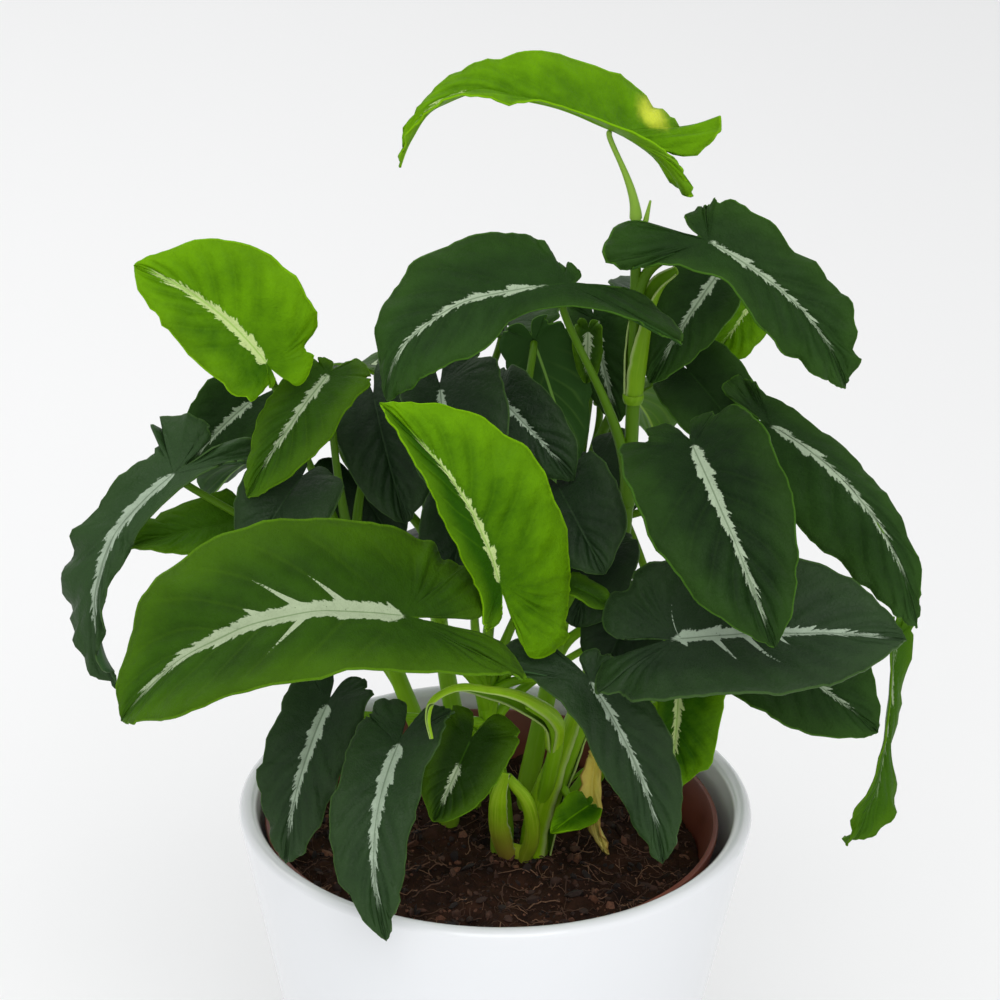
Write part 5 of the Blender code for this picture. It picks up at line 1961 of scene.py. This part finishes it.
BLADES = (
    Blade("leaf_top", (26, 0, 314), (-27, -14, 308), (-90, 80), (10, 10),
          (Lobe(36, 20, -22), Lobe(26, 28, 50)), "shoot_tall", 1.0, rise=10, reach=2, bulge=17, crest=0.8,
          fold=25, wave=1.2, blunt=0.5, waists=(1.55, 0.5), tone=Tone.FRESH, stripe=0.9, span=(0.5, 0.95),
          age=0.05, pale=0.9, frill=1.1, stalk=0.72),
    Blade("leaf_upper_left_bright", (-60, -16, 256), (-94, -6, 278), (-88, 25), (20, 13),
          (Lobe(14, 50, 10), Lobe(6, 30, 10)), "shoot_left", 0.9, reach=26, bulge=3, sway=3,
          tone=Tone.FRESH, stripe=1.5, span=(0.0, 0.96), age=0.08, left_shade=-0.22),
    Blade("leaf_left_mid", (-45, -4, 248), (-65, -22, 221), (-100, 45), (8, 12),
          (Lobe(5, 60), Lobe(11, 60)), "shoot_left", 1.0, reach=20, bulge=3, tone=Tone.MID,
          span=(0.0, 0.85)),
    Blade("leaf_upper_mid", (15, -14, 278), (-29, -31, 252), (-95, 48), (16, 14),
          (Lobe(8, 50, 10), Lobe(31, 40, 25)), "shoot_tall", 0.62, bulge=11, crest=0.75, sway=7, fold=0,
          blunt=0.95, waists=(1.15, 0.5), stripe=0.9, span=(0.05, 0.97), age=0.12, frill=0.8),
    Blade("leaf_upper_right", (51, -12, 289), (86, -24, 255), (-90, 46), (13, 12),
          (Lobe(25, 54, 5), Lobe(12, 40, 15)), "shoot_tall", 0.86, bulge=7, crest=0.6, sway=-3, wave=2.5,
          waists=(0.7, 1.0), stripe=0.8, age=0.1, frill=1.3),
    Blade("leaf_upper_right_back", (56, 16, 271), (38, 6, 243), (-100, 35), (10, 10), (Lobe(12), Lobe(10)),
          "shoot_back_right", 0.95, rise=55, bulge=3),
    Blade("leaf_right_bright_back", (68, 38, 258), (54, 34, 238), (-70, 0), (9, 9), (Lobe(10), Lobe(10)),
          "shoot_right", 1.0, reach=20, bulge=2, tone=Tone.FRESH, stripe=0.5),
    Blade("leaf_right_round", (50, 26, 238), (66, 16, 221), (-95, 35), (12, 12), (Lobe(9), Lobe(9)),
          "shoot_right", 0.95, bulge=3, stripe=0.0),
    Blade("leaf_right_arch", (70, 0, 234), (109, -20, 186), (-105, 38), (17, 7),
          (Lobe(15), Lobe(24, 22, 0)), "shoot_right", 0.9, bulge=10, sway=-7, fold=-20, wave=2, stripe=1.05,
          age=0.12, frill=0.9),
    Blade("leaf_right_front", (48, -30, 241), (68, -66, 203), (-95, 40), (20, 18),
          (Lobe(14, 45), Lobe(12, 45)), "shoot_right", 1.0, bulge=7, stripe=1.7, span=(0.0, 0.95),
          age=-0.25, frill=0.5),
    Blade("leaf_right_lower", (46, -44, 194), (103, -46, 196), (-95, 62), (23, 23),
          (Lobe(25, 30, 25), Lobe(24, 40, 10)), "shoot_right", 0.6, bulge=3, tone=Tone.VELVET, stripe=1.9,
          span=(-0.03, 0.97), streaks=1.3),
    Blade("leaf_right_low_back", (68, 4, 168), (102, -12, 151), (-95, 50), (17, 17), (Lobe(14), Lobe(14)),
          "shoot_right", 0.5, bulge=4),
    Blade("leaf_right_hanging", (107, 8, 169), (96, -1, 111), (-40, 10), (4.5, 5.5), (Lobe(8), Lobe(8)),
          "shoot_right", 0.8, rise=60, reach=20, bulge=3, crest=0.85, sway=-5, wave=2, blunt=2.9,
          tone=Tone.MID, stripe=0.3, age=0.7, frill=1.0),
    Blade("leaf_low_right", (24, -34, 176), (44, -44, 128), (-90, 25), (9, 11),
          (Lobe(22, 50, 40), Lobe(10)), "shoot_front", 0.9, bulge=5, sway=-3, tone=Tone.VELVET, stripe=1.0,
          age=0.1),
    Blade("leaf_low_right_bright", (48, -14, 164), (46, -22, 138), (-85, 20), (6, 12), (Lobe(6), Lobe(8)),
          "shoot_right", 0.3, bulge=3, tone=Tone.FRESH, age=-0.3, frill=2.0),
    Blade("leaf_front_left", (-24, -62, 208), (-92, -80, 187), (-92, 60), (26, 22),
          (Lobe(32, 34, 2), Lobe(32, 30, 0)), "shoot_front", 1.0, bulge=14, crest=0.55, sway=4, blunt=1.3,
          tone=Tone.MID, stripe=3.0, span=(0.0, 0.97), streaks=1.0, frill=0.8),
    Blade("leaf_centre_bright", (0, -44, 209), (-30, -46, 258), (-60, 25), (21, 9),
          (Lobe(34, 28, 15), Lobe(12)), "shoot_front", 1.0, bulge=4, sway=3, tone=Tone.FRESH, stripe=1.0,
          age=-0.06, left_shade=-0.8),
    Blade("leaf_low_left_1", (-44, -36, 169), (-54, -52, 131), (-100, 25), (11, 11), (Lobe(12), Lobe(12)),
          "shoot_front", 0.6, bulge=5, sway=1, tone=Tone.VELVET, stripe=1.6, frill=0.9),
    Blade("leaf_low_left_2", (-25, -51, 166), (-27, -76, 123), (-95, 25), (12, 10), (Lobe(15), Lobe(15)),
          "shoot_front", 0.7, sway=4, tone=Tone.VELVET, stripe=1.8, age=0.2, frill=0.9),
    Blade("leaf_low_mid", (-7, -38, 160), (-16, -50, 143), (-80, 40), (9, 11), (Lobe(10, 50), Lobe(14, 50)),
          "shoot_front", 0.4, bulge=2, tone=Tone.MID, span=(0.3, 0.85), age=-0.95),
    Blade("leaf_far_left", (-85, -8, 221), (-100, -20, 164), (-125, 30), (12, 6),
          (Lobe(22, 50, 5), Lobe(23, 45, 5)), "shoot_left", 0.8, bulge=10, sway=8, wave=2.5, blunt=1.5,
          waists=(0.7, 1.0), tone=Tone.VELVET, stripe=1.7, age=0.95, frill=2.6),
    Blade("leaf_left_small_bright", (-70, 5, 202), (-98, -4, 198), (-90, 50), (8, 8), (Lobe(6), Lobe(6)),
          "shoot_left", 0.6, bulge=2, tone=Tone.MID, stripe=0.0, age=0.7, frill=1.8),
    Blade("leaf_left_low_dark", (-52, -12, 222), (-64, -24, 203), (-95, 40), (12, 13), (Lobe(8), Lobe(9)),
          "shoot_left", 0.9, bulge=4, tone=Tone.VELVET, stripe=0.0),
    Blade("leaf_mid_left", (-34, 19, 232), (-25, 5, 202), (-95, 25), (12, 14), (Lobe(12), Lobe(13)),
          "shoot_left", 1.0, bulge=4, tone=Tone.VELVET, stripe=0.0, age=-0.2),
    Blade("leaf_mid_front", (-16, -8, 246), (-12, -24, 219), (-90, 20), (10, 17),
          (Lobe(13, 40, 10), Lobe(15, 45, 10)), "shoot_back_left", 1.0, bulge=3, tone=Tone.VELVET,
          stripe=1.2, span=(0.0, 0.5), age=-0.2),
    Blade("leaf_mid_dark", (0, 0, 240), (19, -12, 223), (-90, 30), (10, 10), (Lobe(10), Lobe(10)),
          "shoot_back_left", 0.9, bulge=3, tone=Tone.VELVET, stripe=0.8, age=-0.2),
    Blade("leaf_mid_underside", (8, 14, 251), (19, 10, 216), (95, 30), (10, 10),
          (Lobe(8, 40, 0), Lobe(8, 40, 0)), "shoot_front", 1.0, bulge=3),
    Blade("leaf_mid_right", (24, 28, 252), (31, 24, 224), (-100, 20), (7, 10), (Lobe(10), Lobe(10)),
          "shoot_back_right", 1.0, bulge=3),
    Blade("leaf_mid_small", (22, 14, 254), (22, 12, 240), (-90, 10), (4, 4), (Lobe(4), Lobe(4)),
          "shoot_back_left", 1.0, bulge=1, tone=Tone.MID),
    Blade("leaf_mid_low", (15, -10, 220), (27, -28, 204), (-95, 35), (14, 14), (Lobe(10, 50), Lobe(10, 50)),
          "shoot_front", 0.9, bulge=3, tone=Tone.VELVET, stripe=0.0, age=-0.2),
    Blade("leaf_mid_low_back", (26, 22, 213), (35, 14, 202), (-95, 35), (12, 12),
          (Lobe(10, 50), Lobe(10, 50)), "shoot_right", 0.7, bulge=2, tone=Tone.VELVET, stripe=0.0),
    Blade("leaf_young", (19, -25, 199), (29, -27, 194), (-90, 60), (4, 4), (Lobe(3), Lobe(3)),
          "shoot_front", 0.8, bulge=1, tone=Tone.MID, stripe=0.0),
    Blade("leaf_left_back", (-67, 20, 230), (-84, 14, 213), (-95, 35), (11, 11), (Lobe(12), Lobe(12)),
          "shoot_left", 0.7, bulge=3),
    Blade("leaf_low_small", (25, -12, 127), (15, -20, 123), (-90, 50), (5, 5), (Lobe(3), Lobe(3)),
          "shoot_tall", 0.05, bulge=1, tone=Tone.FRESH, stripe=0.0, age=-0.25, frill=1.0),
    Blade("leaf_withered", (27, 1, 134), (31, -7, 109), (-100, 10), (3.6, 3.2), (Lobe(3), Lobe(3)),
          "shoot_tall", 0.02, rise=12, reach=4, bulge=2, sway=2, fold=35, wave=1.5, tone=Tone.WITHERED,
          stripe=0.0, frill=3.0, stalk=0.5),
    Blade("leaf_inner_left", (-40, 24, 207), (-27, 15, 189), (-95, 35), (10, 9), (Lobe(11), Lobe(11)),
          "shoot_left", 0.95, bulge=3, tone=Tone.VELVET, stripe=0.0, age=-0.25),
    Blade("leaf_inner_mid", (-9, 1, 208), (-13, -9, 188), (-95, 35), (11, 8), (Lobe(11), Lobe(11)),
          "shoot_back_left", 0.8, bulge=3, tone=Tone.VELVET, stripe=0.0, age=-0.25),
    Blade("leaf_inner_right", (25, -7, 200), (20, -17, 183), (-95, 35), (11, 12), (Lobe(12), Lobe(12)),
          "shoot_front", 0.85, bulge=3, tone=Tone.VELVET, stripe=0.0, age=-0.25),
    Blade("leaf_inner_low", (35, -9, 184), (27, -17, 168), (-95, 35), (11, 11), (Lobe(10), Lobe(10)),
          "shoot_front", 0.7, bulge=3, tone=Tone.VELVET, stripe=0.0, age=-0.2),
    Blade("leaf_back_1", (-44, 34, 214), (-84, 66, 180), (130, 45), (17, 17), (Lobe(16), Lobe(16)),
          "shoot_back_left", 0.9),
    Blade("leaf_back_2", (-12, 56, 218), (-18, 100, 188), (95, 50), (18, 18), (Lobe(13), Lobe(13)),
          "shoot_back_left", 1.0, bulge=7, tone=Tone.VELVET, stripe=1.6),
    Blade("leaf_back_3", (27, 61, 217), (46, 100, 186), (80, 50), (18, 18), (Lobe(16), Lobe(16)),
          "shoot_back_right", 1.0, bulge=7, tone=Tone.MID, streaks=0.6),
    Blade("leaf_back_4", (60, 40, 204), (96, 66, 170), (50, 45), (17, 17), (Lobe(16), Lobe(16)),
          "shoot_back_right", 0.9, stripe=1.5),
    Blade("leaf_back_5", (-60, 24, 188), (-98, 36, 154), (160, 40), (15, 15), (Lobe(14), Lobe(14)),
          "shoot_left", 0.5, tone=Tone.MID),
    Blade("leaf_back_6", (-28, 54, 175), (-42, 88, 140), (105, 40), (15, 15), (Lobe(14), Lobe(14)),
          "shoot_back_left", 0.6, tone=Tone.VELVET, stripe=1.3),
    Blade("leaf_back_7", (15, 56, 172), (20, 92, 136), (85, 40), (15, 15), (Lobe(14), Lobe(14)),
          "shoot_back_right", 0.6, stripe=1.3),
    Blade("leaf_back_8", (52, 40, 168), (80, 70, 134), (50, 40), (14, 14), (Lobe(14), Lobe(14)),
          "shoot_back_right", 0.5, tone=Tone.VELVET),
    Blade("leaf_back_9", (0, 36, 248), (-12, 76, 222), (100, 50), (16, 16), (Lobe(15), Lobe(15)),
          "shoot_back_left", 1.0, stripe=1.2),
    Blade("leaf_back_10", (42, 40, 254), (68, 72, 226), (60, 50), (15, 15), (Lobe(14), Lobe(14)),
          "shoot_back_right", 1.0, tone=Tone.VELVET, stripe=1.4),
    Blade("leaf_back_11", (5, 60, 194), (6, 104, 160), (88, 50), (16, 16), (Lobe(15), Lobe(15)),
          "shoot_back_right", 0.9, tone=Tone.MID, stripe=1.4),
    Blade("leaf_back_12", (-31, 46, 230), (-58, 82, 198), (125, 50), (16, 16), (Lobe(15), Lobe(15)),
          "shoot_back_left", 0.95, tone=Tone.MID, streaks=0.5),
)


@dataclass(frozen=True)
class Lamp:
    """A square soft lamp: its place and its size in metres, and its power in watts."""

    name: str
    spot: Point
    size: float
    power: float

    def build(self, target: Point) -> None:
        """Hangs the lamp.

        Args:
            target: where it shines at.
        """
        light = bpy.data.lights.new(self.name, "AREA")
        light.size, light.energy = self.size, self.power
        obj = bpy.data.objects.new(self.name, light)
        bpy.context.scene.collection.objects.link(obj)
        aim = Vector(target) - Vector(self.spot)
        obj.matrix_world = Matrix.Translation(self.spot) @ aim.to_track_quat("-Z", "Y").to_matrix().to_4x4()


@dataclass(frozen=True)
class FloorFinish:
    """A matt floor that darkens a little towards the right, between two places in metres."""

    left: Colour = (0.90, 0.90, 0.90)
    right: Colour = (0.84, 0.84, 0.84)
    fade: tuple[float, float] = (-0.5, 0.6)
    roughness: float = 0.6

    def make(self) -> bpy.types.Material:
        """Builds the finish.

        Returns:
            The material.
        """
        paint = Paint("pale_floor")
        share = paint.step(paint.split(paint.position())[0], *self.fade)
        paint.coat({"Base Color": paint.mix(share, self.left, self.right), "Roughness": self.roughness})
        return paint.material


@dataclass(frozen=True)
class Studio:
    """A pale floor, soft light from all round and above, and the camera at the photograph's angle."""

    focal: float = 122.4
    sensor: float = 36.0
    pitch: float = 24.4
    roll: float = 1.0
    distance: float = 893.0
    target: Point = (-0.2, 0.0, 211.7)
    clip: tuple[float, float] = (0.05, 50.0)
    sky: Colour = (0.95, 0.955, 0.96)
    sky_strength: float = 0.86
    lamps: tuple[Lamp, ...] = (Lamp("key", (0.15, -1.1, 1.4), 1.2, 11.0),
                               Lamp("back", (-0.7, 0.7, 1.5), 1.0, 4.0))
    lamp_target: Point = (0.0, 0.0, 0.18)
    floor_radius: float = 6.0
    floor_sides: int = 96
    floor_finish: FloorFinish = FloorFinish()

    def camera(self) -> None:
        """Stands the camera where the photograph was taken."""
        pitch, roll = math.radians(self.pitch), math.radians(self.roll)
        forward = Vector((0, math.cos(pitch), -math.sin(pitch)))
        level = Vector((1, 0, 0))
        upright = level.cross(forward)
        right = math.cos(roll) * level + math.sin(roll) * upright
        up = -math.sin(roll) * level + math.cos(roll) * upright
        lens = bpy.data.cameras.new("camera")
        lens.lens, lens.sensor_width = self.focal, self.sensor
        lens.clip_start, lens.clip_end = self.clip
        obj = bpy.data.objects.new("camera", lens)
        bpy.context.scene.collection.objects.link(obj)
        eye = (Vector(self.target) - forward * self.distance) * MM
        turn = Matrix((right, up, -forward)).transposed().to_4x4()
        obj.matrix_world = Matrix.Translation(eye) @ turn
        bpy.context.scene.camera = obj

    def light(self) -> None:
        """Even light from all round, with large soft lamps above."""
        world = bpy.data.worlds.new("soft_room")
        bpy.context.scene.world = world
        world.use_nodes = True
        ground = world.node_tree.nodes["Background"]
        ground.inputs["Color"].default_value = (*self.sky, 1)
        ground.inputs["Strength"].default_value = self.sky_strength
        for lamp in self.lamps:
            lamp.build(self.lamp_target)

    def floor(self) -> None:
        """A wide pale floor."""
        deselect()
        bpy.ops.mesh.primitive_circle_add(vertices=self.floor_sides, radius=self.floor_radius,
                                          fill_type="NGON")
        obj = bpy.context.active_object
        obj.name = obj.data.name = "pale_floor"
        paint_with(obj, self.floor_finish.make())

    def build(self) -> None:
        """Sets up the camera, the light and the floor."""
        bpy.context.scene.view_settings.view_transform = "Standard"
        self.camera()
        self.light()
        self.floor()


def triangles(obj: bpy.types.Object) -> int:
    """How many triangles the piece has."""
    obj.data.calc_loop_triangles()
    return len(obj.data.loop_triangles)


def main() -> None:
    """Builds the studio, the pots, the soil, the shoots and the blades."""
    logging.basicConfig(level=logging.INFO, format="%(message)s")
    for group in (StripeGroup, VeinGroup, MottleGroup):
        group()
    Studio().build()
    pot = NurseryPot("nursery_pot", "terracotta_plastic", 96, PLASTIC, (-0.9, -1.0))
    made = [CoverPot("cover_pot", "glaze", 144, GLAZE).build(), pot.build()]
    made += Soil(pot.centre, pot).build()
    stalks = StalkFinish().make()
    for shoot in SHOOTS:
        made.append(shoot.build([blade for blade in BLADES if blade.shoot == shoot.node], stalks))
    outer, inner = YOUNG_OUTER.make(), YOUNG_INNER.make()
    made += [wrap.build(outer, inner) for wrap in WRAPS]
    finishes = {kind.tone: (kind.upper(), kind.lower(), kind.slot) for kind in FINISHES}
    made += [blade.build(index, finishes) for index, blade in enumerate(BLADES)]
    for obj in made:
        log.info("%s: %d triangles", obj.name, triangles(obj))
    log.info("%d pieces, %d triangles", len(made), sum(triangles(obj) for obj in made))


if __name__ == "__main__":
    main()
